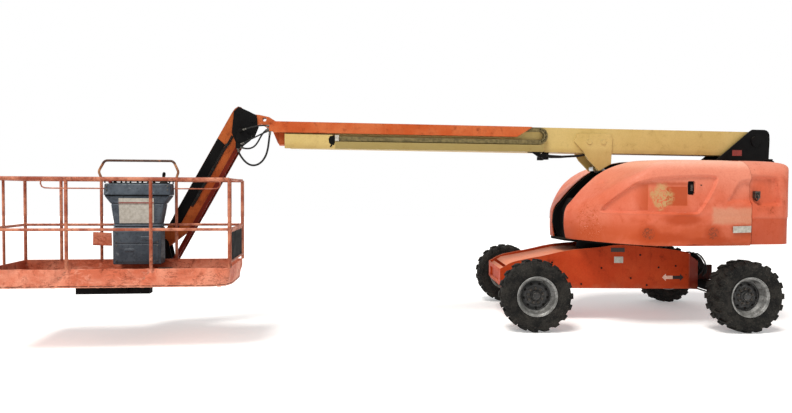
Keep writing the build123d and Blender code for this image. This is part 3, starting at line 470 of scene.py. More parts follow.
def floor_plate():
    """Worn tread plate: small raised bars in two directions."""
    s = Mat("tread_plate")
    n1, n2 = s.noise(5, 4, 0.6), s.noise(50, 5, 0.65)
    col = s.mix(s.step(n1, 0.36, 0.64), C(150, 86, 60), C(112, 66, 48))
    col = s.mix(s.mul(s.step(n2, 0.45, 0.66), 0.7), col, C(84, 52, 40))
    a, b = s.dot(s.co, (PC, PS, 0)), s.dot(s.co, (-PS, PC, 0))
    bars = s.mul(s.math("SINE", s.mul(s.math("ADD", a, b), 150.0)), s.math("SINE", s.mul(s.math("SUBTRACT", a, b), 150.0)))
    s.put(s.b.inputs["Base Color"], s.mix(s.step(bars, 0.5, 0.9), col, C(170, 132, 108)))
    s.put(s.b.inputs["Roughness"], s.step(n2, 0.3, 0.7, 0.5, 0.8))
    s.put(s.b.inputs["Normal"], s.bump(s.math("ADD", s.step(bars, 0.3, 0.8), s.mul(n2, 0.3)), 0.003, 0.8))
    return s.m


M["tread_plate"] = floor_plate()

NODE_MATERIAL = {
    "chassis": ["chassis_frame"], "black": ["front_axle", "rear_axle", "knuckle_left", "knuckle_right", "turntable_frame",
                                            "jib_head", "platform_support", "lift_barrel", "jib_barrel", "boom_pivot_pin"],
    "matt_black": ["swing_bearing", "tie_rod", "turntable_deck", "platform_mount", "lift_foot_pin", "gate_post"],
    "chrome": ["lift_rod", "jib_rod"], "steel": ["tie_down_lugs"], "engine": ["engine_block"], "tank": ["fluid_tank"],
    "box": ["ground_control_box"], "boom": ["base_boom", "carrier_trough"], "orange": ["fly_boom", "push_tube"],
    "jib": ["jib_arm"], "link": ["jib_links"], "platform": ["document_plate"], "black_2": ["foot_switch"], "rail": ["rail_near", "rail_far", "rail_end", "gate"],
    "hoop": ["guard_hoop"],
}
for key, names in NODE_MATERIAL.items():
    key = key.split("_2")[0]
    for name in names:
        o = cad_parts[name]
        o.data.materials.clear()
        o.data.materials.append(M[key])
for name in ("jib_cover",):
    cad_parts[name].data.materials.clear()
    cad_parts[name].data.materials.append(M["matt_black"])


# ------------------------------------------------------------------ mesh helpers
def link_mesh(name, verts, faces, body, mat, smooth=False, angle=None, slot=None, bevel=0, segments=2):
    me = bpy.data.meshes.new(name)
    me.from_pydata([tuple(v) for v in verts], [], [tuple(f) for f in faces])
    me.validate()
    me.update()
    me.materials.append(mat)
    o = bpy.data.objects.new(name, me)
    scene.collection.objects.link(o)
    if smooth:
        me.shade_smooth()
    if angle:
        me.shade_smooth()
        me.set_sharp_from_angle(angle=radians(angle))
    if bevel:
        b = o.modifiers.new("bevel", "BEVEL")
        b.width, b.segments, b.limit_method, b.angle_limit = bevel, segments, "ANGLE", radians(35)
        b.harden_normals = False
    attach(o, body)
    return o


class Kit:
    """Collects small shapes into one mesh."""

    def __init__(self):
        self.v, self.f = [], []

    def put(self, verts, faces):
        n = len(self.v)
        self.v += [Vector(p) for p in verts]
        self.f += [tuple(i + n for i in f) for f in faces]
        return self

    def box(self, fr, a0, a1, b0, b1, z0, z1):
        p = [fr(a, b, z) for z in (z0, z1) for a, b in ((a0, b0), (a1, b0), (a1, b1), (a0, b1))]
        return self.put(p, [(0, 3, 2, 1), (4, 5, 6, 7), (0, 1, 5, 4), (1, 2, 6, 5), (2, 3, 7, 6), (3, 0, 4, 7)])

    def prism(self, fr, outline, b0, b1):
        """A plate of the outline (along, up) between two offsets across."""
        n = len(outline)
        area = sum(outline[i][0] * outline[(i + 1) % n][1] - outline[(i + 1) % n][0] * outline[i][1] for i in range(n))
        if area < 0:
            outline = outline[::-1]
        lo, hi = min(b0, b1), max(b0, b1)
        p = [fr(a, lo, z) for a, z in outline] + [fr(a, hi, z) for a, z in outline]
        f = [tuple(range(n)), tuple(range(2 * n - 1, n - 1, -1))]
        f += [(i, i + n, (i + 1) % n + n, (i + 1) % n) for i in range(n)]
        return self.put(p, f)

    def tube(self, pts, r, n=10, caps=True):
        pts = [Vector(p) for p in pts]
        rings = []
        ref = None
        for i, p in enumerate(pts):
            d = (pts[min(i + 1, len(pts) - 1)] - pts[max(i - 1, 0)]).normalized()
            if ref is None:
                ref = d.orthogonal().normalized()
            ref = (ref - d * ref.dot(d)).normalized()
            q = d.cross(ref)
            rr = r[i] if isinstance(r, (list, tuple)) else r
            rings.append([p + (ref * cos(2 * pi * k / n) + q * sin(2 * pi * k / n)) * rr for k in range(n)])
        v = [p for ring in rings for p in ring]
        f = [(i * n + k, i * n + (k + 1) % n, (i + 1) * n + (k + 1) % n, (i + 1) * n + k)
             for i in range(len(pts) - 1) for k in range(n)]
        if caps:
            f += [tuple(range(n - 1, -1, -1)), tuple(range((len(pts) - 1) * n, len(pts) * n))]
        return self.put(v, f)

    def cyl(self, p, q, r, n=20):
        return self.tube([p, q], r, n)

    def lathe(self, p, axis, profile, n=32, phase=0.0):
        """Round the axis at p: profile of (radius, distance along), closed by caps where the radius is 0."""
        axis = Vector(axis).normalized()
        a = axis.orthogonal().normalized()
        b = axis.cross(a)
        v = [Vector(p) + axis * h + (a * cos(2 * pi * k / n + phase) + b * sin(2 * pi * k / n + phase)) * r
             for r, h in profile for k in range(n)]
        f = [(i * n + k, i * n + (k + 1) % n, (i + 1) * n + (k + 1) % n, (i + 1) * n + k)
             for i in range(len(profile) - 1) for k in range(n)]
        return self.put(v, f)

    def bolt(self, p, axis, r, h):
        """A hexagon head on a washer, with a rounded top."""
        axis = Vector(axis).normalized()
        p = Vector(p)
        self.tube([p, p + axis * h * 0.25], r * 1.45, 14)
        return self.tube([p + axis * h * 0.25, p + axis * h * 0.9, p + axis * h], [r, r, r * 0.8], 6)

    def done(self, name, body, mat, **k):
        return link_mesh(name, self.v, self.f, body, mat, **k)


def face_out(o):
    import bmesh
    bm = bmesh.new()
    bm.from_mesh(o.data)
    bmesh.ops.recalc_face_normals(bm, faces=bm.faces)
    bm.to_mesh(o.data)
    bm.free()
    return o


def curve_points(points, closed=False, n=8):
    """Points along a smooth curve through the given ones (2-D)."""
    p = np.array(points, float)
    out = []
    count = len(p) if closed else len(p) - 1
    for i in range(count):
        if closed:
            a, b, c, d = p[i - 1], p[i], p[(i + 1) % len(p)], p[(i + 2) % len(p)]
        else:
            a, b, c, d = p[max(i - 1, 0)], p[i], p[i + 1], p[min(i + 2, len(p) - 1)]
        lb = np.linalg.norm(c - b)
        m0 = (c - a) / max(np.linalg.norm(c - b) + np.linalg.norm(b - a), 1e-9) * lb
        m1 = (d - b) / max(np.linalg.norm(d - c) + np.linalg.norm(c - b), 1e-9) * lb
        for k in range(n):
            t = k / n
            out.append((2 * t**3 - 3 * t**2 + 1) * b + (t**3 - 2 * t**2 + t) * m0 + (-2 * t**3 + 3 * t**2) * c
                       + (t**3 - t**2) * m1)
    if not closed:
        out.append(p[-1])
    return np.array(out)


def side_of(x, y, line):
    """Signed distance of points to an open line: positive on its left."""
    a, b = line[:-1], line[1:]
    d = b - a
    best, sign = np.full(x.shape, 1e9), np.ones(x.shape)
    for (ax, ay), (dx, dy) in zip(a, d):
        t = np.clip(((x - ax) * dx + (y - ay) * dy) / (dx * dx + dy * dy), 0, 1)
        qx, qy = x - ax - t * dx, y - ay - t * dy
        dist = np.hypot(qx, qy)
        near = dist < best - 1e-9
        cross = dx * (y - ay) - dy * (x - ax)
        best = np.where(near, dist, best)
        sign = np.where(near, np.where(cross > 0, 1.0, -1.0), sign)
    return best * sign


def inside_of(x, y, loop):
    """Signed distance to a closed outline: positive inside."""
    best, count = np.full(x.shape, 1e9), np.zeros(x.shape, int)
    n = len(loop)
    for i in range(n):
        (ax, ay), (bx, by) = loop[i], loop[(i + 1) % n]
        dx, dy = bx - ax, by - ay
        t = np.clip(((x - ax) * dx + (y - ay) * dy) / max(dx * dx + dy * dy, 1e-12), 0, 1)
        best = np.minimum(best, np.hypot(x - ax - t * dx, y - ay - t * dy))
        hit = ((ay > y) != (by > y)) & (x < ax + (y - ay) * dx / (dy if abs(dy) > 1e-12 else 1e-12))
        count += hit
    return np.where(count % 2 == 1, best, -best)


def soft(x, lo, hi):
    t = np.clip((x - lo) / (hi - lo), 0, 1)
    return t * t * (3 - 2 * t)


def smax(a, b, k):
    h = np.maximum(k - np.abs(a - b), 0) / k
    return np.maximum(a, b) + h * h * k / 4


# ------------------------------------------------------------------ free hoses
HOSES = {
    "hose_loop_large": (24, [(-4536, -192, 2388.5), (-4545, -191, 2320), (-4553, -190, 2245), (-4565, -188, 2165),
                             (-4590, -186, 2085), (-4638, -183, 2014), (-4706, -180, 1974), (-4778, -176, 1978),
                             (-4838, -172, 2022), (-4882, -168, 2080), (-4910, -166, 2130), (-4920, -166, 2176)]),
    "hose_loop_small": (20, [(-4552, -188, 2421), (-4586, -188, 2402), (-4620, -187, 2368), (-4650, -185, 2320),
                             (-4679, -182, 2262), (-4716, -179, 2210), (-4765, -176, 2181), (-4818, -174, 2176),
                             (-4858, -172, 2184), (-4886, -172, 2194)]),
    "hose_top": (18, [(-4546.5, -188, 2456), (-4598, -187, 2461), (-4662, -184, 2457), (-4730, -180, 2444),
                      (-4795, -176, 2425), (-4857, -172, 2403)]),
    "hose_middle": (18, [(-4549, -166, 2401), (-4602, -165, 2378), (-4672, -164, 2341), (-4748, -164, 2303),
                         (-4822, -163, 2262), (-4885, -162, 2230)]),
}
hose_pieces = []
for name, (diameter, route) in HOSES.items():
    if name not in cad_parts:
        continue
    curve = bpy.data.curves.new("route_" + name, "CURVE")
    curve.dimensions = "3D"
    spline = curve.splines.new("NURBS")
    spline.points.add(len(route) - 1)
    for q, p in zip(spline.points, route):
        q.co = (*UP(*p), 1)
    spline.order_u = 3
    spline.use_endpoint_u = True
    spline.resolution_u = 8
    bare = bpy.data.objects.new("bare", curve)
    line = [v.co.copy() for v in bpy.data.meshes.new_from_object(bare).vertices]
    kit = Kit().tube(line, diameter / 2000, 16)
    me = bpy.data.meshes.new(name)
    me.from_pydata([tuple(v) for v in kit.v], [], kit.f)
    me.update()
    me.shade_smooth()
    me.materials.append(M["rubber"])
    o = bpy.data.objects.new(name + "_skin", me)
    scene.collection.objects.link(o)
    bpy.data.objects.remove(bare)
    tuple(UP(-4555, -180, 2400))
    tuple(UP(-4885, -170, 2210))
    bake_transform(o)
    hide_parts(name)
    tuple(UP(*route[0]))
    # crimped ends
    for end, body in ((0, "fly"), (-1, "jib_head_body")):
        p = UP(*route[end])
        d = (UP(*route[1]) - UP(*route[0])).normalized() if end == 0 else (UP(*route[-2]) - UP(*route[-1])).normalized()
        r = diameter / 2000
        Kit().tube([p - d * 0.003, p + d * 0.010, p + d * 0.012, p + d * 0.040, p + d * 0.043],
                   [r * 1.35, r * 1.35, r * 1.22, r * 1.22, r * 1.02], 14).done(
            name + ("_end_a" if end == 0 else "_end_b"), body, M["zinc"], angle=40)


# ------------------------------------------------------------------ hoods
def extended(points, lead, tail):
    p = curve_points(points, n=5)
    a = p[0] + (p[0] - p[1]) / np.linalg.norm(p[0] - p[1]) * lead
    b = p[-1] + (p[-1] - p[-2]) / np.linalg.norm(p[-1] - p[-2]) * tail
    return np.vstack([a, p, b])


HOOD_TOP = extended([(-727, 1072), (-759, 1168), (-773, 1253), (-762, 1385), (-722, 1471), (-659, 1539), (-521, 1694),
                     (-411, 1796), (-288, 1894), (-99, 1996), (188, 2080), (429, 2104), (700, 2112), (1316, 2108)], 400, 900)
HOOD_PLAN = extended([(-776, 180), (-768, 230), (-738, 300), (-684, 420), (-622, 530), (-545, 650), (-440, 770),
                      (-305, 880), (-140, 965), (60, 1015), (300, 1043), (550, 1050), (1316, 1050)], 500, 900)
HOOD_SECTION = extended([(150, 2125), (420, 2108), (700, 2088), (860, 2058), (960, 1990), (1015, 1880), (1040, 1700),
                         (1050, 1450), (1050, 1250), (1040, 1010)], 500, 400)


def hood_f(p):
    u, v, z = p[..., 0], p[..., 1], p[..., 2]
    z = z + 0.30 * (np.clip(v - 188, 0, 420) - np.clip(v - 188, 0, 420) ** 2 / 1400) * soft(-u, -420, 260) * soft(z, 1250, 1650)
    return smax(smax(side_of(u, z, HOOD_TOP), side_of(u, v, HOOD_PLAN), 100), side_of(v, p[..., 2], HOOD_SECTION), 60)


def march(f, o, d, reach=3000.0, steps=12):
    """Where rays from inside leave the body."""
    lo, hi = np.zeros(o.shape[:-1]), np.full(o.shape[:-1], reach)
    flo, fhi = f(o), f(o + d * hi[..., None])
    t, side = lo.copy(), np.zeros(o.shape[:-1])
    for i in range(steps):
        t = (lo * fhi - hi * flo) / (fhi - flo)
        val = f(o + d * t[..., None])
        out = val > 0
        fhi = np.where(out, val, np.where(side < 0, fhi / 2, fhi))
        flo = np.where(out, np.where(side > 0, flo / 2, flo), val)
        hi, lo = np.where(out, t, hi), np.where(out, lo, t)
        side = np.where(out, 1, -1)
        tiny = np.abs(val) < 1e-6
        fhi, flo = np.where(tiny, 1e-9, fhi), np.where(tiny, -1e-9, flo)
        hi, lo = np.where(tiny, t, hi), np.where(tiny, t, lo)
    return o + d * t[..., None]


HOOD_BOTTOM_U, HOOD_BOTTOM_Z = [-640, -400, 50, 500, 1316], [1060, 1046, 1024, 1018, 1018]


def normals_of(p):
    gu = np.gradient(p, axis=0)
    gv = np.gradient(p, axis=1)
    n = np.cross(gv, gu)
    return n / np.maximum(np.linalg.norm(n, axis=-1, keepdims=True), 1e-9)


CAM = np.array([-2945.2, -8237.8, 1671.9])


def seen_on(p, v0):
    """Where the line from the camera to a point (u, v, z of the near side, v negative) meets the plane v = v0."""
    x, y = p[..., 0] * UC - p[..., 1] * US, p[..., 0] * US + p[..., 1] * UC
    cu, cv = CAM[0] * UC + CAM[1] * US, -CAM[0] * US + CAM[1] * UC
    t = (v0 - cv) / (p[..., 1] - cv)
    return cu + (p[..., 0] - cu) * t, CAM[2] + (p[..., 2] - CAM[2]) * t


def rows_of_hood(n_flat, n_nose, n_arc, liner=False):
    us = np.linspace(1316, -100, n_flat)
    phis = np.linspace(0, pi / 2, n_nose + 1)[1:]
    # spread of angles by the length of one section, closer together beside the window
    th = np.linspace(0, pi / 2, 900)
    o = np.zeros((900, 3)) + np.array([500, 188, 1018])
    d = np.stack([np.zeros(900), np.cos(th), np.sin(th)], -1)
    s = march(hood_f, o, d)
    seg = np.linalg.norm(np.diff(s, axis=0), axis=1)
    zz = s[1:, 2]
    seg = seg * (1 + (0.0 if liner else 1.3) * ((zz > 1330) & (zz < 1900)))
    cum = np.concatenate([[0], np.cumsum(seg)])
    th = np.interp(np.linspace(0, cum[-1], n_arc), cum, th)
    count = n_flat + n_nose
    o = np.zeros((count, n_arc, 3))
    d = np.zeros((count, n_arc, 3))
    hu = np.concatenate([np.zeros(n_flat), -np.sin(phis)])
    hv = np.concatenate([np.ones(n_flat), np.cos(phis)])
    o[..., 0] = np.concatenate([us, np.full(n_nose, -100.0)])[:, None]
    o[..., 1] = 188
    z0 = np.full(count, 1040.0)
    for i in range(4):
        oo = np.stack([o[:, 0, 0], o[:, 0, 1], z0], -1)
        dd = np.stack([hu, hv, np.zeros(count)], -1)
        hit = march(hood_f, oo, dd)
        z0 = np.interp(hit[:, 0], HOOD_BOTTOM_U, HOOD_BOTTOM_Z)
    o[..., 2] = z0[:, None]
    d[..., 0] = hu[:, None] * np.cos(th)[None]
    d[..., 1] = hv[:, None] * np.cos(th)[None]
    d[..., 2] = np.sin(th)[None]
    return march(hood_f, o, d)


def hood_shape():
    n_flat, n_nose, n_arc = ((232, 92, 200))
    p = rows_of_hood(n_flat, n_nose, n_arc)
    shell = p.copy()
    nrm = normals_of(p)
    nrm *= np.sign(np.sum(nrm * (p - np.array([300, 500, 1400])), axis=-1, keepdims=True))
    near = p.copy()
    near[..., 1] *= -1
    su, sz = seen_on(near, -1045)
    outward = soft(p[..., 1], 420, 560)
    depth = np.zeros(su.shape)
    # the long recess, with rounded corners and a soft lip
    pane = curve_points([(-674, 1468), (-640, 1512), (-470, 1638), (-254, 1769), (-60, 1832), (136, 1862), (480, 1880),
                         (760, 1884), (836, 1866), (842, 1812), (760, 1640), (640, 1462), (596, 1418), (540, 1405),
                         (0, 1418), (-640, 1434), (-676, 1446)], closed=True, n=3)
    s = inside_of(su, sz, pane)
    depth += 34 * soft(s, 0, 20) * outward
    depth -= 3.5 * np.exp(-((s + 9) / 8.0) ** 2) * outward
    # hand recess at the rear edge: a scoop with a flat lower ledge, deepest at the seam
    grip = curve_points([(1360, 1830), (1230, 1848), (1150, 1826), (1090, 1764), (1010, 1640), (942, 1562), (950, 1530),
                         (1010, 1520), (1180, 1520), (1360, 1520)], closed=True, n=3)
    g = inside_of(su, sz, grip)
    low = soft(sz, 1500, 1600)
    depth += 42 * soft(g, 0, 70) * (0.35 + 0.65 * low) * soft(su, 930, 1210) ** 0.6 * soft(p[..., 1], 900, 1000)
    # shallow scoop near the brow, and two swellings on the upper corner
    du, dz = seen_on(near, -760)
    e = np.hypot((du + 553) / 150, (dz - 1796 - 0.10 * (du + 553)) / 42)
    depth += 20 * soft(1 - e, 0, 0.7) * soft(p[..., 1], 330, 430)
    for x0, x1, z0, z1, h in ((150, 380, 1935, 2075, 7), (914, 1120, 1952, 2085, 7)):
        m = soft(su, x0 - 30, x0 + 10) * soft(-su, -x1 - 6, -x1 + 26) * soft(sz, z0 - 10, z0 + 26)
        m = m * soft(p[..., 2], 1920, 1990) * soft(p[..., 1], 560, 700)
        depth += h * m
    # long soft crease under the window and a rolled lower edge
    depth += 3.0 * np.exp(-((p[..., 2] - 1380) / 30.0) ** 2) * soft(p[..., 1], 850, 950) * soft(p[..., 0], 250, 620)
    depth += 8 * (1 - soft(p[..., 2], 1018, 1062)) ** 2 * soft(p[..., 1], 500, 800)
    # slight waves of an old moulding
    depth += 1.2 * np.sin(p[..., 0] / 143 + 1.3) * np.sin(p[..., 2] / 97 + 0.4)
    depth = np.maximum(depth, -3.6)
    p = p - nrm * depth[..., None]
    # cut-out round the latch slot
    hole = inside_of(su, sz, curve_points([(471, 1660), (478, 1646), (518, 1640), (558, 1646), (566, 1660), (566, 1792),
                                           (558, 1806), (518, 1812), (478, 1806), (471, 1792)], closed=True, n=3))
    slot_depth = 30 * soft(hole, -4, 6) * (p[..., 1] > 900)
    p[..., 1] -= slot_depth
    return p, hole, shell


hood_p, hood_hole, hood_plain = hood_shape()


def hood_piece(sign, name, node, body):
    p = hood_p
    r, c = p.shape[:2]
    inner_r = list(range(0, r, 6)) + ([r - 1] if (r - 1) % 6 else [])
    inner_c = list(range(0, c, 6)) + ([c - 1] if (c - 1) % 6 else [])
    nrm = normals_of(p)
    nrm *= np.sign(np.sum(nrm * (p - np.array([300, 500, 1400])), axis=-1, keepdims=True))
    verts = [UP(q[0], sign * q[1], q[2]) for q in p.reshape(-1, 3)]
    faces = []
    for i in range(r - 1):
        for j in range(c - 1):
            a, b, d, e = i * c + j, i * c + j + 1, (i + 1) * c + j + 1, (i + 1) * c + j
            faces.append((a, b, d, e) if sign < 0 else (a, e, d, b))
    # the inner skin follows the undented shell, and a folded edge joins the two
    q = hood_plain
    nrm = normals_of(q)
    nrm *= np.sign(np.sum(nrm * (q - np.array([300, 500, 1400])), axis=-1, keepdims=True))
    rim = np.minimum(np.minimum(np.arange(r)[:, None], r - 1 - np.arange(r)[:, None]) * 7.0,
                     np.minimum(np.arange(c)[None], c - 1 - np.arange(c)[None]) * 8.0)
    back = q - nrm * (9 + 50 * soft(rim, 0, 60))[..., None]
    folded = p - nrm * 11
    on_edge = (rim == 0)[..., None]
    back = np.where(on_edge, folded, back)
    back[..., 1] = np.maximum(back[..., 1], 188.5)
    back[..., 2] = np.maximum(back[..., 2], 1018)
    back[-1, :, 1] = 188.5
    n0 = len(verts)
    index = {}
    for i in range(r):
        for j in range(c):
            edge = i in (0, r - 1) or j in (0, c - 1)
            if edge or (i in inner_r and j in inner_c):
                index[i, j] = len(verts)
                q = back[i, j]
                uu = q[0]
                if i == 0:
                    uu = 1316
                verts.append(UP(uu, sign * q[1], q[2]))
    for a in range(len(inner_r) - 1):
        for b in range(len(inner_c) - 1):
            i0, i1, j0, j1 = inner_r[a], inner_r[a + 1], inner_c[b], inner_c[b + 1]
            loop = [(i0, j) for j in (range(j0, j1 + 1) if i0 == 0 else (j0, j1))]
            loop += [(i, j1) for i in (range(i0 + 1, i1) if j1 == c - 1 else ())]
            loop += [(i1, j) for j in (range(j1, j0 - 1, -1) if i1 == r - 1 else (j1, j0))]
            loop += [(i, j0) for i in (range(i1 - 1, i0, -1) if j0 == 0 else ())]
            ids = [index[k] for k in loop]
            faces.append(tuple(ids[::-1]) if sign < 0 else tuple(ids))
    border = [(0, j) for j in range(c)] + [(i, c - 1) for i in range(1, r)] + [(r - 1, j) for j in range(c - 2, -1, -1)] \
        + [(i, 0) for i in range(r - 2, 0, -1)]
    for k in range(len(border)):
        (i0, j0), (i1, j1) = border[k], border[(k + 1) % len(border)]
        a, b, d, e = i0 * c + j0, i1 * c + j1, index[i1, j1], index[i0, j0]
        faces.append((a, e, d, b) if sign < 0 else (a, b, d, e))
    me = bpy.data.meshes.new(name)
    me.from_pydata([tuple(v) for v in verts], [], faces)
    me.update()
    me.shade_smooth()
    me.set_sharp_from_angle(angle=radians(50))
    me.materials.append(M["hood"])
    me.materials.append(M["matt_black"])
    o = bpy.data.objects.new(name, me)
    scene.collection.objects.link(o)
    # the floor of the latch slot is black
    black = [False] * len(me.polygons)
    k = 0
    for i in range(r - 1):
        for j in range(c - 1):
            if hood_hole[i, j] > 1.5 and p[i, j, 1] > 880:
                me.polygons[k].material_index = 1
            k += 1
    for q in range(k, k + (len(inner_r) - 1) * (len(inner_c) - 1)):
        me.polygons[q].material_index = 1
    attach(o, body)
    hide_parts(node)
    return o


hood_near = hood_piece(-1, "hood_right_shell", "hood_right", "hood_right_body")
hood_far = hood_piece(1, "hood_left_shell", "hood_left", "hood_left_body")


# ------------------------------------------------------------------ light, floor and backdrop
world = bpy.data.worlds.new("world")
scene.world = world
world.use_nodes = True
world.node_tree.nodes["Background"].inputs[0].default_value = (1, 1, 1, 1)
world.node_tree.nodes["Background"].inputs[1].default_value = 0.35


def area(name, at, to, size, power, colour=(1, 1, 1)):
    d = bpy.data.lights.new(name, "AREA")
    d.shape, d.size, d.energy, d.color = "SQUARE", size, power, colour
    o = bpy.data.objects.new(name, d)
    scene.collection.objects.link(o)
    o.location = at
    o.rotation_mode = "QUATERNION"
    o.rotation_quaternion = (Vector(to) - Vector(at)).to_track_quat("-Z", "Y")
    return o


area("key", (-6, -9, 8), (-1, 0, 1.2), 5, 270, (1, 0.98, 0.95))
area("fill", (8, -9, 3), (1, 0, 1.2), 4, 60)
sun = bpy.data.lights.new("sun", "SUN")
sun.energy, sun.angle, sun.color = 2.5, radians(20), (1, 0.97, 0.92)
sun_o = bpy.data.objects.new("sun", sun)
scene.collection.objects.link(sun_o)
sun_o.rotation_mode = "QUATERNION"
sun_o.rotation_quaternion = Vector((0.30, 0.42, -1)).to_track_quat("-Z", "Y")

floor_mat = bpy.data.materials.new("floor")
floor_mat.use_nodes = True
fb = floor_mat.node_tree.nodes["Principled BSDF"]
fb.inputs["Base Color"].default_value = (0.9, 0.9, 0.9, 1)
fb.inputs["Roughness"].default_value = 0.9
fb.inputs["Emission Color"].default_value = (1, 1, 1, 1)
fb.inputs["Emission Strength"].default_value = 0.28
fm = bpy.data.meshes.new("floor")
fm.from_pydata([(-60, -60, 0), (60, -60, 0), (60, 60, 0), (-60, 60, 0)], [], [(0, 1, 2, 3)])
fm.materials.append(floor_mat)
floor = bpy.data.objects.new("floor", fm)
scene.collection.objects.link(floor)

# bright backdrop far behind the machine
back_mat = bpy.data.materials.new("backdrop")
back_mat.use_nodes = True
back_mat.node_tree.nodes.clear()
em = back_mat.node_tree.nodes.new("ShaderNodeEmission")
om = back_mat.node_tree.nodes.new("ShaderNodeOutputMaterial")
back_mat.node_tree.links.new(em.outputs[0], om.inputs[0])
em.inputs[0].default_value = (1, 1, 1, 1)
em.inputs[1].default_value = 1.0
bm_ = bpy.data.meshes.new("backdrop")
bm_.from_pydata([(-60, 30, -1), (60, 30, -1), (60, 30, 45), (-60, 30, 45)], [], [(0, 1, 2, 3)])
bm_.materials.append(back_mat)
backdrop = bpy.data.objects.new("backdrop", bm_)
scene.collection.objects.link(backdrop)


# ------------------------------------------------------------------ counterweight
TAIL = np.array([(1100, 2100), (1322, 2100), (1600, 2096), (1760, 2084), (1860, 2058), (1935, 2028), (1994, 1990),
                 (2022, 1930), (2054, 1830), (2087, 1690), (2117, 1533), (2150, 1030), (2156, 700)], float)
TAIL_PLAN = np.array([(1000, 1050), (1700, 1050), (1750, 1042), (1800, 1020), (1865, 975), (1935, 900), (2010, 760),
                      (2068, 580), (2110, 400), (2138, 186), (2147, -100)], float)
TAIL_PLAN = np.vstack([TAIL_PLAN[:2], curve_points(TAIL_PLAN[2:], n=4)])


def tail_f(p):
    u, v, z = p[..., 0], p[..., 1], p[..., 2]
    return smax(smax(side_of(u, z, TAIL), side_of(u, v, TAIL_PLAN), 70), side_of(v, z, HOOD_SECTION), 50)


def tail_shape():
    n, m = ((150, 124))
    o0 = np.array([1322.0, 187, 1030])
    ph = np.linspace(0, pi / 2, 600)
    s = march(tail_f, np.zeros((600, 3)) + o0, np.stack([np.sin(ph), np.cos(ph), np.zeros(600)], -1))
    seg = np.linalg.norm(np.diff(s, axis=0), axis=1) * (1 + 1.4 * (s[1:, 0] < 1850) * (s[1:, 1] > 800))
    ph = np.interp(np.linspace(0, seg.sum(), n), np.concatenate([[0], np.cumsum(seg)]), ph)
    s = march(tail_f, np.zeros((600, 3)) + o0, np.stack([np.zeros(600), np.cos(np.linspace(0, pi / 2, 600)),
                                                       np.sin(np.linspace(0, pi / 2, 600))], -1))
    seg = np.linalg.norm(np.diff(s, axis=0), axis=1)
    seg = seg * (1 + 1.3 * (s[1:, 1] > 850))
    th = np.interp(np.linspace(0, seg.sum(), m), np.concatenate([[0], np.cumsum(seg)]), np.linspace(0, pi / 2, 600))
    d = np.zeros((n, m, 3))
    d[..., 0] = np.sin(ph)[:, None] * np.cos(th)
    d[..., 1] = np.cos(ph)[:, None] * np.cos(th)
    d[..., 2] = np.sin(th)[None]
    p = march(tail_f, np.zeros((n, m, 3)) + o0, d)
    nrm = normals_of(p)
    nrm *= np.sign(np.sum(nrm * (p - np.array([1500, 400, 1500])), axis=-1, keepdims=True))
    near = p.copy()
    near[..., 1] *= -1
    su, sz = seen_on(near, -1045)
    pocket = curve_points([(1250, 1875), (1560, 1882), (1640, 1874), (1676, 1840), (1694, 1790), (1708, 1680),
                           (1726, 1560), (1718, 1516), (1660, 1500), (1470, 1498), (1400, 1506), (1340, 1540),
                           (1250, 1560)], closed=True, n=3)
    g = inside_of(su, sz, pocket)
    side = soft(p[..., 1], 880, 990)
    depth = 52 * soft(g, 0, 46) * side * (1 - 0.0 * su)
    depth -= 2.5 * np.exp(-((g + 9) / 9.0) ** 2) * side
    band = sz if False else p[..., 2]
    low = soft(-band, -1362, -1348)
    depth += 5 * low * soft(p[..., 0], 1330, 1380)
    depth += 4 * np.exp(-((band - 1356) / 7.0) ** 2) * soft(p[..., 0], 1330, 1380)
    depth += 1.4 * np.sin(p[..., 0] / 61 + 0.7) * np.sin(p[..., 2] / 83) + 0.8 * np.sin(p[..., 1] / 47)
    depth = np.maximum(depth, 0)
    p = p - nrm * depth[..., None]
    p[..., 1] = np.maximum(p[..., 1], 187)
    p[..., 0] = np.maximum(p[..., 0], 1322)
    p[..., 2] = np.maximum(p[..., 2], 1030)
    p[0, :, 0] = 1322
    p[-1, :, 1] = 187
    p[:, 0, 2] = 1030
    return p


tail_p = tail_shape()
tail_v, tail_faces = [], []
for sign in (-1, 1):
    r, c = tail_p.shape[:2]
    base = len(tail_v)
    tail_v += [UP(q[0], sign * q[1], q[2]) for q in tail_p.reshape(-1, 3)]
    corner = len(tail_v)
    tail_v.append(UP(1322, sign * 187, 1030))
    flip = lambda f: f if sign < 0 else f[::-1]
    for i in range(r - 1):
        for j in range(c - 1):
            a = base + i * c + j
            tail_faces.append(flip((a, a + c, a + c + 1, a + 1)))
    for j in range(c - 1):
        tail_faces.append(flip((corner, base + j, base + j + 1)))
        a = base + (r - 1) * c + j
        tail_faces.append(flip((corner, a + 1, a)))
    for i in range(r - 1):
        tail_faces.append(flip((corner, base + (i + 1) * c, base + i * c)))
weight = link_mesh("counterweight_casting", tail_v, tail_faces, "turntable", M["weight"], angle=52, slot="counterweight_iron")
face_out(weight)
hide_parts("counterweight")


# ------------------------------------------------------------------ wheels
def wheel_frame(x, y, yaw_deg, out):
    c, s = cos(radians(yaw_deg)), sin(radians(yaw_deg))
    ax = Vector((-s, c, 0)) * out
    fx = Vector((c, s, 0))
    at = Vector((x, y, 430)) / 1000
    return lambda r, a, h: at + (fx * (r * cos(a)) + Vector((0, 0, 1)) * (r * sin(a)) + ax * h) / 1000


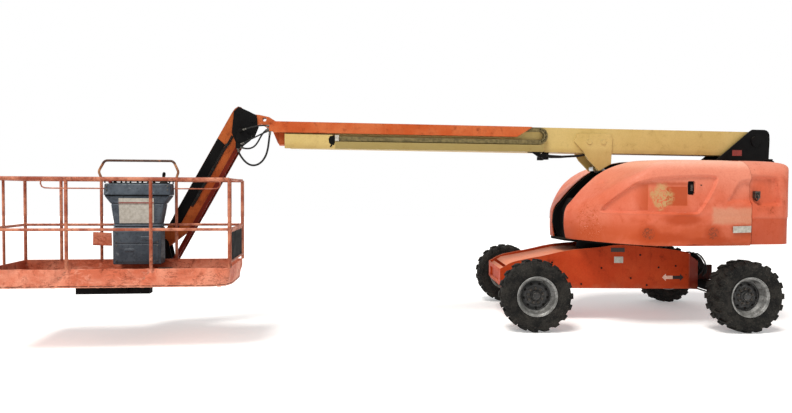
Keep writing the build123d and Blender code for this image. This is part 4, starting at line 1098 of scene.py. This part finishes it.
C54, S54 = cos(radians(5.4)), sin(radians(5.4))
WHEELS = {
    "rear_left": (-1245, 1017, 0, 1), "rear_right": (-1245, -1017, 0, -1),
    "front_left": (1245 - 250 * S54, 767 + 250 * C54, 5.4, 1), "front_right": (1245 + 250 * S54, -767 - 250 * C54, 5.4, -1),
}
CARCASS = [(240, 112), (246, 122), (262, 136), (283, 143), (287, 147.5), (293, 147.5), (298, 146), (322, 149), (345, 150),
           (350, 152), (356, 152), (361, 149.5), (376, 146), (388, 139), (396, 128), (401, 112), (403, 80), (404, 40),
           (404, 0)]


def revolve(fr, profile, n, loop=True):
    v = [fr(r, 2 * pi * k / n, h) for r, h in profile for k in range(n)]
    m = len(profile)
    f = []
    for i in range(m if loop else m - 1):
        for k in range(n):
            a, b = i * n + k, i * n + (k + 1) % n
            j = (i + 1) % m
            f.append((a, b, j * n + (k + 1) % n, j * n + k))
    return v, f


for wheel, (wx, wy, wyaw, out) in WHEELS.items():
    fr = wheel_frame(wx, wy, wyaw, out)
    body = wheel + "_wheel"
    kit = Kit()
    half = [(r, h) for r, h in CARCASS]
    prof = half + [(r, -h) for r, h in half[::-1][1:]]
    n = 96
    kit.put(*revolve(fr, prof, n))
    lugs = 19
    for side in (1, -1):
        for k in range(lugs):
            a0 = 2 * pi * (k + (0.5 if side < 0 else 0)) / lugs
            j1, j2 = random.uniform(-1.5, 1.5), random.uniform(-1.2, 1.2)
            long = k % 2 == 0
            # across, top radius, root radius, skew along the tread, half width
            st = [(6 if long else 26, 428.5, 399, -34, 20), (44, 429.3, 399, -22, 23), (64, 429.3, 399, -6, 27),
                  (104, 428.5, 397, 6, 33), (126, 425, 392, 10, 35), (141, 413, 384, 12, 33), (150, 394, 372, 13, 29),
                  (152, 372, 352, 14, 22)]
            if not long:
                st[-1] = (151.5, 382, 362, 14, 24)
            rings = []
            for y, rt, rb, sk, hw in st:
                rt = min(rt + (j1 if rt < 428 else j1 * 0.4), 429.7)
                rings += [fr(rb, a0 + (sk - hw * 1.12) / 430, side * (y - 6)), fr(rt, a0 + (sk - hw) / 430, side * y),
                          fr(rt, a0 + (sk + hw + j2) / 430, side * y), fr(rb, a0 + (sk + hw * 1.12) / 430, side * (y - 6))]
            q = len(st)
            f = [(0, 3, 2, 1), tuple(4 * (q - 1) + t for t in (0, 1, 2, 3))]
            for i in range(q - 1):
                for t in range(4):
                    f.append((4 * i + t, 4 * i + (t + 1) % 4, 4 * (i + 1) + (t + 1) % 4, 4 * (i + 1) + t))
            kit.put(rings, f)
    tyre = link_mesh("tyre_" + wheel + "_tread", kit.v, kit.f, body, M["tyre"], angle=38, slot="tyre_rubber",
                     bevel=0.0035, segments=1)
    face_out(tyre)
    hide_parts("tyre_" + wheel)
    # rim: flange in grey, barrel and the bend out to the flange in a darker copy of that grey as painted shade, dished
    # disc in dark grey
    outer = [(0, 74), (30, 75), (44, 72), (48, 62), (52, 44), (60, 40), (66, 30), (70, 20), (104, 16), (110, 21), (118, 24),
             (140, 20), (160, 6), (170, 2), (176, 6), (180, 20), (184, 34), (198, 52), (205, 74), (209, 98), (214, 110),
             (222, 116), (229, 119), (233, 127), (237, 129), (240.5, 126), (241, 119), (238, 111), (230, 107), (222, 100),
             (219, 60), (219, -60), (222, -100), (230, -107), (238, -111), (241, -119), (240, -128), (234, -128),
             (228, -120), (222, -112), (212, -104), (208, -60), (196, -20), (176, -12), (110, -8), (100, -30), (60, -44),
             (0, -46)]
    v, f = revolve(fr, outer, 72, loop=False)
    dark_ring = [i for i in range(len(outer) - 1) if i < 15 or i > 40]
    me = bpy.data.meshes.new("rim_" + wheel)
    me.from_pydata([tuple(p) for p in v], [], f)
    me.materials.append(M["rim"])
    me.materials.append(M["rim_dark"])
    me.materials.append(M["rim_mid"])
    nn = 72
    for i, poly in enumerate(me.polygons):
        poly.material_index = 1 if (i // nn) in dark_ring else (2 if 14 < (i // nn) < 24 or 29 < (i // nn) < 41 else 0)
    me.update()
    me.shade_smooth()
    me.set_sharp_from_angle(angle=radians(34))
    rim = bpy.data.objects.new("rim_" + wheel + "_pressing", me)
    scene.collection.objects.link(rim)
    face_out(rim)
    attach(rim, body)
    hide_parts("rim_" + wheel)
    # studs with nuts, hub flange with small bolts, valve, vent holes' lips
    nuts = Kit()
    axis = (fr(0, 0, 1) - fr(0, 0, 0)).normalized()
    for k in range(9):
        a = 2 * pi * k / 9 + 0.2
        nuts.bolt(fr(88, a, 17), axis, 0.0125, 0.020)
        nuts.cyl(fr(88, a, 36), fr(88, a, 46), 0.0075, 8)
    for k in range(6):
        nuts.bolt(fr(33, 2 * pi * k / 6, 73), axis, 0.005, 0.006)
    nuts.cyl(fr(196, 1.1, 50), fr(186, 1.1, 84), 0.006, 8)
    nuts.done("wheel_nuts_" + wheel, body, M["steel"])
    vents = Kit()
    for k in range(9):
        a = 2 * pi * k / 9 + 0.2 + pi / 9
        pts = [fr(141 + 13 * cos(t), a + 13 * sin(t) / 141, 21.5) for t in [2 * pi * q / 14 for q in range(15)]]
        vents.tube(pts, 0.0028, 6, caps=False)
        # black discs in the vent holes: painted shade standing in for the openings
        vents.lathe(fr(141, a, 18.5), axis, [(0, 0.0), (0.0115, 0.0), (0.0115, 0.0024), (0, 0.0024)], 12)
    vents.done("wheel_vents_" + wheel, body, M["matt_black"])


# ------------------------------------------------------------------ platform console
def PB(a, b, z):
    return PL(a, b, 673 + z)


def PZ(a, z_, b):
    return PL(a, b, z_)


def taper(kit, fr, a0, a1, b0, b1, z0, c0, c1, d0, d1, z1):
    """A box between a lower and an upper rectangle."""
    p = [fr(a0, b0, z0), fr(a1, b0, z0), fr(a1, b1, z0), fr(a0, b1, z0), fr(c0, d0, z1), fr(c1, d0, z1), fr(c1, d1, z1),
         fr(c0, d1, z1)]
    return kit.put(p, [(0, 3, 2, 1), (4, 5, 6, 7), (0, 1, 5, 4), (1, 2, 6, 5), (2, 3, 7, 6), (3, 0, 4, 7)])


k = Kit()
taper(k, PB, -290, 446, 252, 430, 936, -284, 440, 268, 428, 1070)
taper(k, PB, -214, 370, 266, 428, 838, -286, 442, 258, 430, 934)
taper(k, PB, -184, 328, 272, 428, 606, -214, 370, 266, 428, 840)
taper(k, PB, -196, 344, 268, 424, 578, -192, 340, 270, 424, 608)
console = k.done("console_case", "platform", M["console"], slot="console_plastic", bevel=0.018, segments=3)
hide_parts("console")
console.data.shade_smooth()
console.data.set_sharp_from_angle(angle=radians(60))
k = Kit()
k.box(PB, -192, 338, 256, 428, 152, 576)
low = k.done("console_lower_box", "platform", M["console"], bevel=0.012, segments=2, slot="console_plastic")
k = Kit()
k.box(PB, -165, 312, 250.5, 256.5, 182, 380).box(PB, -165, 312, 250.5, 256.5, 394, 532)
k.box(PB, -60, 40, 246, 252, 300, 330).box(PB, 120, 220, 244, 252, 430, 470)
k.done("console_lower_doors", "platform", M["console"], bevel=0.004, segments=2)
k = Kit()
for a in (-150, 297):
    for z in (196, 366, 408, 518):
        k.bolt(PB(a, 250.5, z), PB(0, -1, 0) - PB(0, 0, 0), 0.006, 0.005)
for a in (-255, 412):
    for z in (1000, 1040):
        k.bolt(PB(a, 257, z), PB(0, -1, 0) - PB(0, 0, 0), 0.007, 0.006)
k.done("console_screws", "platform", M["zinc"])
k = Kit()
taper(k, PB, -120, 256, 267.5, 272, 620, -124, 260, 261.0, 266, 836)
taper(k, PB, -124, 260, 258.5, 266, 838, -124, 260, 253, 262, 904)
k.done("console_sheet", "platform", M["white"], bevel=0.0015)
k = Kit()
k.box(PB, -122, 258, 253.5, 262, 846, 858)
k.done("console_sheet_strip", "platform", M["red"], bevel=0.001)
k = Kit()
k.box(PB, -270, 426, 249, 256, 930, 940)
taper(k, PB, -235, 395, 300, 420, 1068, -230, 390, 304, 416, 1082)
for a, r, h in ((-190, 17, 60), (-120, 9, 26), (-70, 9, 26), (-20, 9, 26), (60, 9, 26), (110, 9, 26), (180, 14, 22), (240, 14, 22)):
    k.cyl(PB(a, 340, 1078), PB(a, 340, 1078 + h), r / 1000, 14)
    k.cyl(PB(a, 340, 1076), PB(a, 340, 1086), r / 1000 * 1.5, 14)
for a in (345,):
    k.lathe(PB(a, 350, 1078), (0, 0, 1), [(0.046, 0), (0.046, 0.006), (0.034, 0.018), (0.030, 0.030), (0.022, 0.044),
                                         (0.012, 0.05), (0.009, 0.07), (0, 0.07)], 20)
    k.tube([PB(a, 350, 1120), PB(a, 350, 1150), PB(a + 2, 352, 1172), PB(a + 4, 354, 1196), PB(a + 5, 355, 1204)],
           [0.009, 0.016, 0.019, 0.016, 0.006], 14)
for a in (-286, 444):
    k.tube([PB(a * 0.97, 276, 1075), PB(a * 0.97, 276, 1108), PB(a * 0.94, 290, 1116), PB(a * 0.94, 410, 1116),
            PB(a * 0.97, 424, 1108), PB(a * 0.97, 424, 1066)], 0.008, 10)
k.done("console_switches", "platform", M["matt_black"], angle=40)
k = Kit()
k.lathe(PB(-245, 350, 1078), (0, 0, 1), [(0.022, 0), (0.022, 0.018), (0, 0.018)], 18)
k.lathe(PB(-245, 350, 1096), (0, 0, 1), [(0.018, 0), (0.026, 0.003), (0.026, 0.016), (0.018, 0.024), (0, 0.026)], 18)
k.done("console_stop_button", "platform", M["red"], angle=40)


# ------------------------------------------------------------------ trims
k = Kit()       # plates on the chassis side
k.box(CH, -141, 38, -463.5, -461, 897, 953)
k.done("chassis_plate_dark", "chassis", M["dark_mark"], bevel=0.001)
k = Kit()
k.box(CH, -98, 19, -463.5, -461, 755, 837)
k.done("chassis_plate_light", "chassis", M["white"], bevel=0.001)


def side_prism(k, pts, y0, y1):
    return k.prism(lambda a, b, z: CH(a, b, z), pts, y0, y1)


k = Kit()
side_prism(k, [(527, 571), (575, 619), (575, 592), (664, 592), (664, 550), (575, 550), (575, 524)], -463, -461)
k.done("arrow_light", "chassis", M["pale_mark"])
k = Kit()
side_prism(k, [(806, 571), (758, 619), (758, 592), (664.5, 592), (664.5, 550), (758, 550), (758, 524)], -463, -461)
k.done("arrow_dark", "chassis", M["dark_mark"])
k = Kit()       # bolts and small fittings on the chassis
for x, z in ((-900, 760), (-700, 560), (-260, 690), (120, 560), (240, 860), (480, 700), (-520, 480), (330, 470), (700, 720)):
    k.bolt(CH(x, -461, z), (0, -1, 0), 0.009, 0.007)
for x, z in ((-900, 760), (-700, 560), (-260, 690), (120, 560), (240, 860), (480, 700)):
    k.bolt(CH(x, 461, z), (0, 1, 0), 0.009, 0.007)
k.done("chassis_bolts", "chassis", M["black"])
# weld beads along the chassis' top edge
CHASSIS_TOP = [(-1570, 671), (-1405, 761), (-1015, 844), (-692, 915), (-301, 956), (-34, 990), (319, 965), (700, 924),
               (866, 890)]
k = Kit()
for y in (-461, 461):
    top = curve_points(CHASSIS_TOP, n=6)
    k.tube([CH(x, y * 0.9945, z - 1.5) for x, z in top], [0.0042 + 0.0009 * sin(i * 2.1) for i in range(len(top))], 8)
k.done("chassis_weld", "chassis", M["chassis"], smooth=True)

k = Kit()       # blank plate on the hood, latch plate in the slot
k.prism(lambda a, b, z: UP(a, b, z), [(1054, 1177), (1300, 1183), (1300, 1264), (1054, 1258)], -1052.2, -1048.5)
k.done("hood_blank_plate", "hood_right_body", M["white"])
for sign, body in ((-1, "hood_right_body"), (1, "hood_left_body")):
    k = Kit()
    k.box(UP, 505, 532, sign * 1006, sign * 1014, 1690, 1765)
    k.cyl(UP(640, sign * 1010, 1760), UP(640, sign * 1026, 1760), 0.008, 12)
    k.done("hood_latch" + body, body, M["steel"], bevel=0.002)
for sign, body in ((-1, "turntable"), (1, "turntable")):
    k = Kit()       # shackle through the tie-down lug
    ring = [UP(1387 + 0 * t, sign * (1022 + 34 * sin(t)), 1645 - 30 + 38 * cos(t)) for t in
            [2 * pi * q / 28 for q in range(29)]]
    k.tube(ring, 0.011, 12)
    k.done("shackle_%d" % sign, body, M["steel"], smooth=True)


# fittings on the boom's near side
k = Kit()
k.box(UP, -3751, -3702, -216, -210, 2285, 2358)
k.done("boom_light_block", "boom", M["cream_step"], bevel=0.004)
k = Kit()
k.prism(lambda a, b, z: UP(a, b, z), [(-3825, 2262), (-3800, 2240), (-3765, 2236), (-3752, 2262), (-3752, 2330), (-3772, 2350),
                                      (-3812, 2344), (-3830, 2310)], -217, -190)
k.tube([UP(-3790, -214, 2240), UP(-3796, -214, 2226), UP(-3812, -208, 2214)], 0.009, 10)
k.done("boom_clamp", "boom", M["matt_black"], bevel=0.006)
k = Kit()
k.prism(lambda a, b, z: UP(a, b, z), [(-1240, 2262), (-1150, 2230), (-1080, 2170), (-1010, 2160), (-1000, 2120), (-1085, 2112),
                                      (-1150, 2160), (-1236, 2206)], -196, -150)
k.cyl(UP(-1046, -140, 2140), UP(-1046, -204, 2140), 0.030, 18)
k.cyl(UP(-1180, -150, 2228), UP(-1180, -206, 2228), 0.020, 16)
k.box(UP, -1236, -1010, -152, -130, 2180, 2204)
k.done("carrier_guide", "boom", M["matt_black"], bevel=0.005)
k = Kit()
k.box(UP, -1006, -934, 56, 114, 2096, 2140)
k.box(UP, -1006, -934, -114, -56, 2096, 2204)
k.bolt(UP(-970, -114, 2120), UP(0, -1, 0) - UP(0, 0, 0), 0.012, 0.010)
k.done("boom_rest_pad", "boom", M["matt_black"], bevel=0.006)
k = Kit()
for i, (v, z) in enumerate(((-128, 2152), (-112, 2140), (-96, 2150), (-84, 2138))):
    k.tube([UP(-1000, v, z + 8), UP(-900, v, z - 4 - 3 * i), UP(-760, v, z - 10), UP(-620, v, z - 4 + 2 * i), UP(-520, v, z + 6),
            UP(-430, v + 14, z + 22), UP(-352, v + 24, z + 50)], 0.0095, 10)
k.done("boom_hoses", "boom", M["rubber"], smooth=True)
k = Kit()
k.box(UP, 1700, 1846, -182.5, -180, 2178, 2256)
k.done("red_plate", "turntable", M["red"], bevel=0.001)
k = Kit()
k.box(UP, 1850, 1948, -650, -560, 2050, 2086).box(UP, 1862, 1936, -640, -570, 2086, 2112)
k.done("tail_socket", "turntable", M["matt_black"], bevel=0.006)
# near and far lift bracket: raised edges round the bosses
for v in (-151.5, 151.5):
    k = Kit()
    for u in (-380, -180):
        ring = [UP(u + 38 * cos(t), v, 2336 + 38 * sin(t)) for t in [2 * pi * q / 24 for q in range(25)]]
        k.tube(ring, 0.003, 6, caps=False)
    k.done("boss_rings_%d" % (v > 0), "boom", M["boom"], smooth=True)

# thin rail inside the far top rail, with bent ends
k = Kit()
for b in (396,):
    k.tube([PB(-1020, b, 1105), PB(-1024, b, 1065), PB(-1010, b, 1032), PB(-980, b, 1018), PB(-900, b, 1014), PB(-500, b, 1014),
            PB(0, b, 1012), PB(500, b, 1014), PB(850, b, 1014), PB(930, b, 1018), PB(960, b, 1032), PB(974, b, 1065),
            PB(970, b, 1105)], 0.008, 10)
k.done("thin_rail", "platform", M["rail"], smooth=True)

# weathered hose bundle and valve block behind the steered end of the chassis
k = Kit()
for i in range(7):
    y, z = -300 + 34 * i, 800 - 22 * (i % 3)
    k.tube([CH(1010, y, z + 60), CH(1056, y - 10, z + 66), CH(1100, y - 26, z + 30), CH(1140, y - 40, z - 40 - 12 * (i % 2)),
            CH(1160, y - 46, z - 130), CH(1150, y - 40, z - 190)], 0.0105, 9)
k.box(CH, 1052, 1098, -250, -40, 760, 830).box(CH, 1056, 1092, -20, 180, 740, 800)
k.done("axle_hoses", "chassis", M["rubber"], smooth=False, angle=50)


# woven guard over the gate's panel
k = Kit()
for side in (-1, 1):
    a = 1219 + side * 3.2
    k.box(PB, a - 0.8, a + 0.8, -340, 360, 262, 556)
k.done("gate_panel", "gate_body", M["matt_black"])
k = Kit()
for i in range(30):
    b0 = -340 + i * 24
    for d in (1, -1):
        p, q = (b0, 262), (b0 + d * 147, 556)
        if q[0] > 360:
            q = (360, 262 + (360 - b0) * 2)
        if q[0] < -340:
            q = (-340, 262 + (b0 + 340) * 2)
        if abs(q[1] - 262) > 8:
            k.tube([PB(1219 - 5.2, *p), PB(1219 - 5.2, *q)], 0.0022, 4)
for pts in ([(-340, 262), (360, 262)], [(-340, 556), (360, 556)], [(-340, 262), (-340, 556)], [(360, 262), (360, 556)]):
    k.tube([PB(1219 - 5.2, *pts[0]), PB(1219 - 5.2, *pts[1])], 0.006, 6)
k.done("gate_mesh", "gate_body", M["hoop"])

# bundle of lines along the jib's near side, clamped under the edge of its cover
k = Kit()
for i in range(3):
    v, dd = -88.5 - 6 * (i % 2), 124 + 11 * i
    k.tube([JF(300, v, dd + 6), JF(380, v - 3, dd + 10), JF(520, v, dd - 2), JF(800, v - 1, dd + 2), JF(1060, v, dd - 2),
            JF(1220, v, dd + 1), JF(1290, v + 6, dd - 4)], 0.0052, 8)
for t in (420, 760, 1120):
    k.box(JF, t, t + 26, -100, -85, 117, 153)
k.done("jib_lines", "jib_body", M["rubber"], angle=45)

# ------------------------------------------------------------------ platform tray with dented toe boards
def tray():
    """Folded tray: floor, four toe boards with a rolled top edge, dents where the posts stand."""
    half_l, half_w, top = 1222, 458, 191
    radius = 46
    line, run = [], 0
    corners = [(-half_l, -half_w), (half_l, -half_w), (half_l, half_w), (-half_l, half_w)]
    step = 15
    for i, (cx, cy) in enumerate(corners):
        r = radius if i in (1, 2) else 14
        sx, sy = (1 if cx > 0 else -1), (1 if cy > 0 else -1)
        a0 = {(-1, -1): pi, (1, -1): -pi / 2, (1, 1): 0, (-1, 1): pi / 2}[sx, sy]
        for k in range(7):
            a = a0 + (pi / 2) * k / 6
            line.append((cx - sx * r + r * cos(a), cy - sy * r + r * sin(a), cos(a), sin(a)))
        nx, ny = corners[(i + 1) % 4]
        r2 = radius if (i + 1) % 4 in (1, 2) else 14
        length = hypot(nx - cx, ny - cy) - r - r2
        dx, dy = (nx - cx) / hypot(nx - cx, ny - cy), (ny - cy) / hypot(nx - cx, ny - cy)
        x0, y0 = line[-1][0], line[-1][1]
        m = int(length / step)
        for k in range(1, m):
            line.append((x0 + dx * length * k / m, y0 + dy * length * k / m, dy, -dx))
    rnd = random.Random(11)
    wob = [rnd.uniform(0, 6.28) for _ in range(6)]

    def dent(x, y, z):
        d = 0.0
        if y < -half_w + 20:
            e = z / top
            d += 5.0 * (sin(x / 90 + wob[0]) + sin(x / 37 + wob[1]) * 0.6) * sin(pi * min(e, 1)) ** 0.7
            # pushed in beside each post, with a crease that runs down and away
            for px, deep, w in ((-390, 40, 46), (435, 36, 50), (-880, 26, 105), (30, 20, 62), (900, 15, 70), (-1120, 22, 54)):
                t = (x - px + (top - z) * 0.75) / w
                d -= deep * math.exp(-abs(t) ** 1.4) * (0.25 + 0.75 * e)
            d -= 10 * math.exp(-((x - 250) / 40.0) ** 2) * math.exp(-((z - 70) / 40.0) ** 2)
            d += 3.0 * math.exp(-((x + 700) / 60.0) ** 2) * math.exp(-((z - 120) / 50.0) ** 2)
            d = min(d, 1.5)
        else:
            d += 2.2 * (sin(x / 120 + wob[2]) * cos(y / 75 + wob[3])) * sin(pi * min(z / top, 1))
            d = min(d, 1.0) - 0.8
        return d
    levels = [0, 4, 10] + [10 + (top - 16) * k / 15 for k in range(1, (15) + 1)] + [189, 191]
    n = len(line)
    v, f = [], []

    def ring(offset, z, dented=True):
        start = len(v)
        for x, y, nx, ny in line:
            d = (dent(x, y, z) if dented else 0) - offset
            zz = z
            near = math.exp(-(max(half_l - x, 0) / 120.0) ** 2) * math.exp(-((half_w - abs(y)) / 130.0) ** 2)
            if x > 0 and z < 130:
                d -= 62 * near * (1 - z / 130) ** 1.6
            if z > 170 and y < -half_w + 20:
                zz = z - 5 * math.exp(-((x + 520) / 170.0) ** 2) - 3 * abs(sin(x / 67 + wob[4])) * (0.5 + 0.5 * sin(x / 210))
            v.append(PB(x + nx * d, y + ny * d, zz))
        return start
    rings = [ring(9, 0, False), ring(2.2, 0.6)]
    for i, z in enumerate(levels[1:]):
        rings.append(ring(0.8 if i == 0 else 0, z))
    rings += [ring(2.6, 193.5), ring(7.5, 193.5), ring(10, 190)]
    for z in (172, 120, 60, 33, 28):
        rings.append(ring(5.0 if z < 170 else 7, z))
    rings.append(ring(16, 26.5, False))
    for a, b in zip(rings, rings[1:]):
        for i in range(n):
            j = (i + 1) % n
            f.append((a + i, a + j, b + j, b + i))
    f.append(tuple(rings[0] + i for i in range(n - 1, -1, -1)))
    f.append(tuple(rings[-1] + i for i in range(n)))
    me = bpy.data.meshes.new("tray")
    me.from_pydata([tuple(p) for p in v], [], f)
    me.materials.append(M["platform"])
    me.materials.append(M["tread_plate"])
    me.polygons[len(me.polygons) - 1].material_index = 1
    me.update()
    me.shade_smooth()
    me.set_sharp_from_angle(angle=radians(40))
    o = bpy.data.objects.new("platform_tray", me)
    scene.collection.objects.link(o)
    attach(o, "platform")
    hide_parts("platform_floor")
    return o


tray()
k = Kit()       # seams and beams under the floor
for a in (-1000, -560, -120, 320, 760, 1100):
    k.box(PB, a - 20, a + 20, -380, 380, -13, 0.5)
k.box(PB, -1150, 1100, -300, -270, -13, 0.5).box(PB, -1150, 1100, 270, 300, -13, 0.5)
k.done("floor_ribs", "platform", M["platform"], bevel=0.003)
k = Kit()       # weld beads round the posts' feet
for b, posts in ((-455, (-1219, -390, 435, 1219)), (455, (-1219, -826, -382, 459, 1219))):
    for a in posts:
        ring = [PB(a + 14.6 * cos(t), b + 14.6 * sin(t), 193.5 + 1.0 * sin(7 * t)) for t in [2 * pi * q / 20 for q in range(21)]]
        k.tube(ring, 0.0035, 6, caps=False)
k.done("post_welds", "platform", M["rail"], smooth=True)


# ------------------------------------------------------------------ hose carrier, link by link
def carrier_link(k, fr, u0, u1, z0, z1, i):
    """One link: a core and two side plates that overlap the next ones."""
    k.box(fr, u0, u1, -194, -160, z0 + 5, z1 - 5)
    o = 2.2 * (i % 2)
    for v0, v1 in ((-201 + o, -198 + o), (-156 - o, -153 - o)):
        k.box(fr, u0 - 5, u1 + 5, v0, v1, z0 + 0.4, z1 - 0.4)
    return k


k = Kit()
n = 44
for i in range(n):
    u0 = -3744 + 5 + (2652 - 10) * i / n
    carrier_link(k, UP, u0, u0 + 2642 / n - 0.0, 2290, 2345, i)
low_run = k.done("carrier_links_low", "boom", M["carrier"])
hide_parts("carrier_lower_run")
tuple(UP(1, 0, 0) - UP(0, 0, 0))
tuple(UP(-3744, -177, 2317))
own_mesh(low_run)

k = Kit()
n = 36
for i in range(n):
    u0 = -3280 + 5 + 2182 * i / n
    carrier_link(k, UP, u0, u0 + 2182 / n, 2451, 2506, i)
m = 10
for i in range(m):
    a0, a1 = pi / 2 - pi * i / m, pi / 2 - pi * (i + 1) / m

    def bent(t, r):
        a = a0 + (a1 - a0) * t
        return (-1090 + r * cos(a), 2398 + r * sin(a))
    k.prism(UP, [bent(0, 58), bent(0.5, 58), bent(1, 58), bent(1, 103), bent(0.5, 103), bent(0, 103)], -194, -160)
    o = 2.2 * (i % 2)
    for v0, v1 in ((-201 + o, -198 + o), (-156 - o, -153 - o)):
        k.prism(UP, [bent(-0.06, 53.5), bent(0.5, 53.5), bent(1.06, 53.5), bent(1.06, 107.5), bent(0.5, 107.5), bent(-0.06, 107.5)],
                v0, v1)
loop = k.done("carrier_links_loop", "carrier", M["carrier"])
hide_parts("carrier_loop")
k = Kit()
for i in range(m):
    a = pi / 2 - pi * i / m
    k.cyl(UP(-1090 + 80.5 * cos(a), -197, 2398 + 80.5 * sin(a)), UP(-1090 + 80.5 * cos(a), -203.5, 2398 + 80.5 * sin(a)), 0.008, 10)
k.done("carrier_pins", "carrier", M["matt_black"])
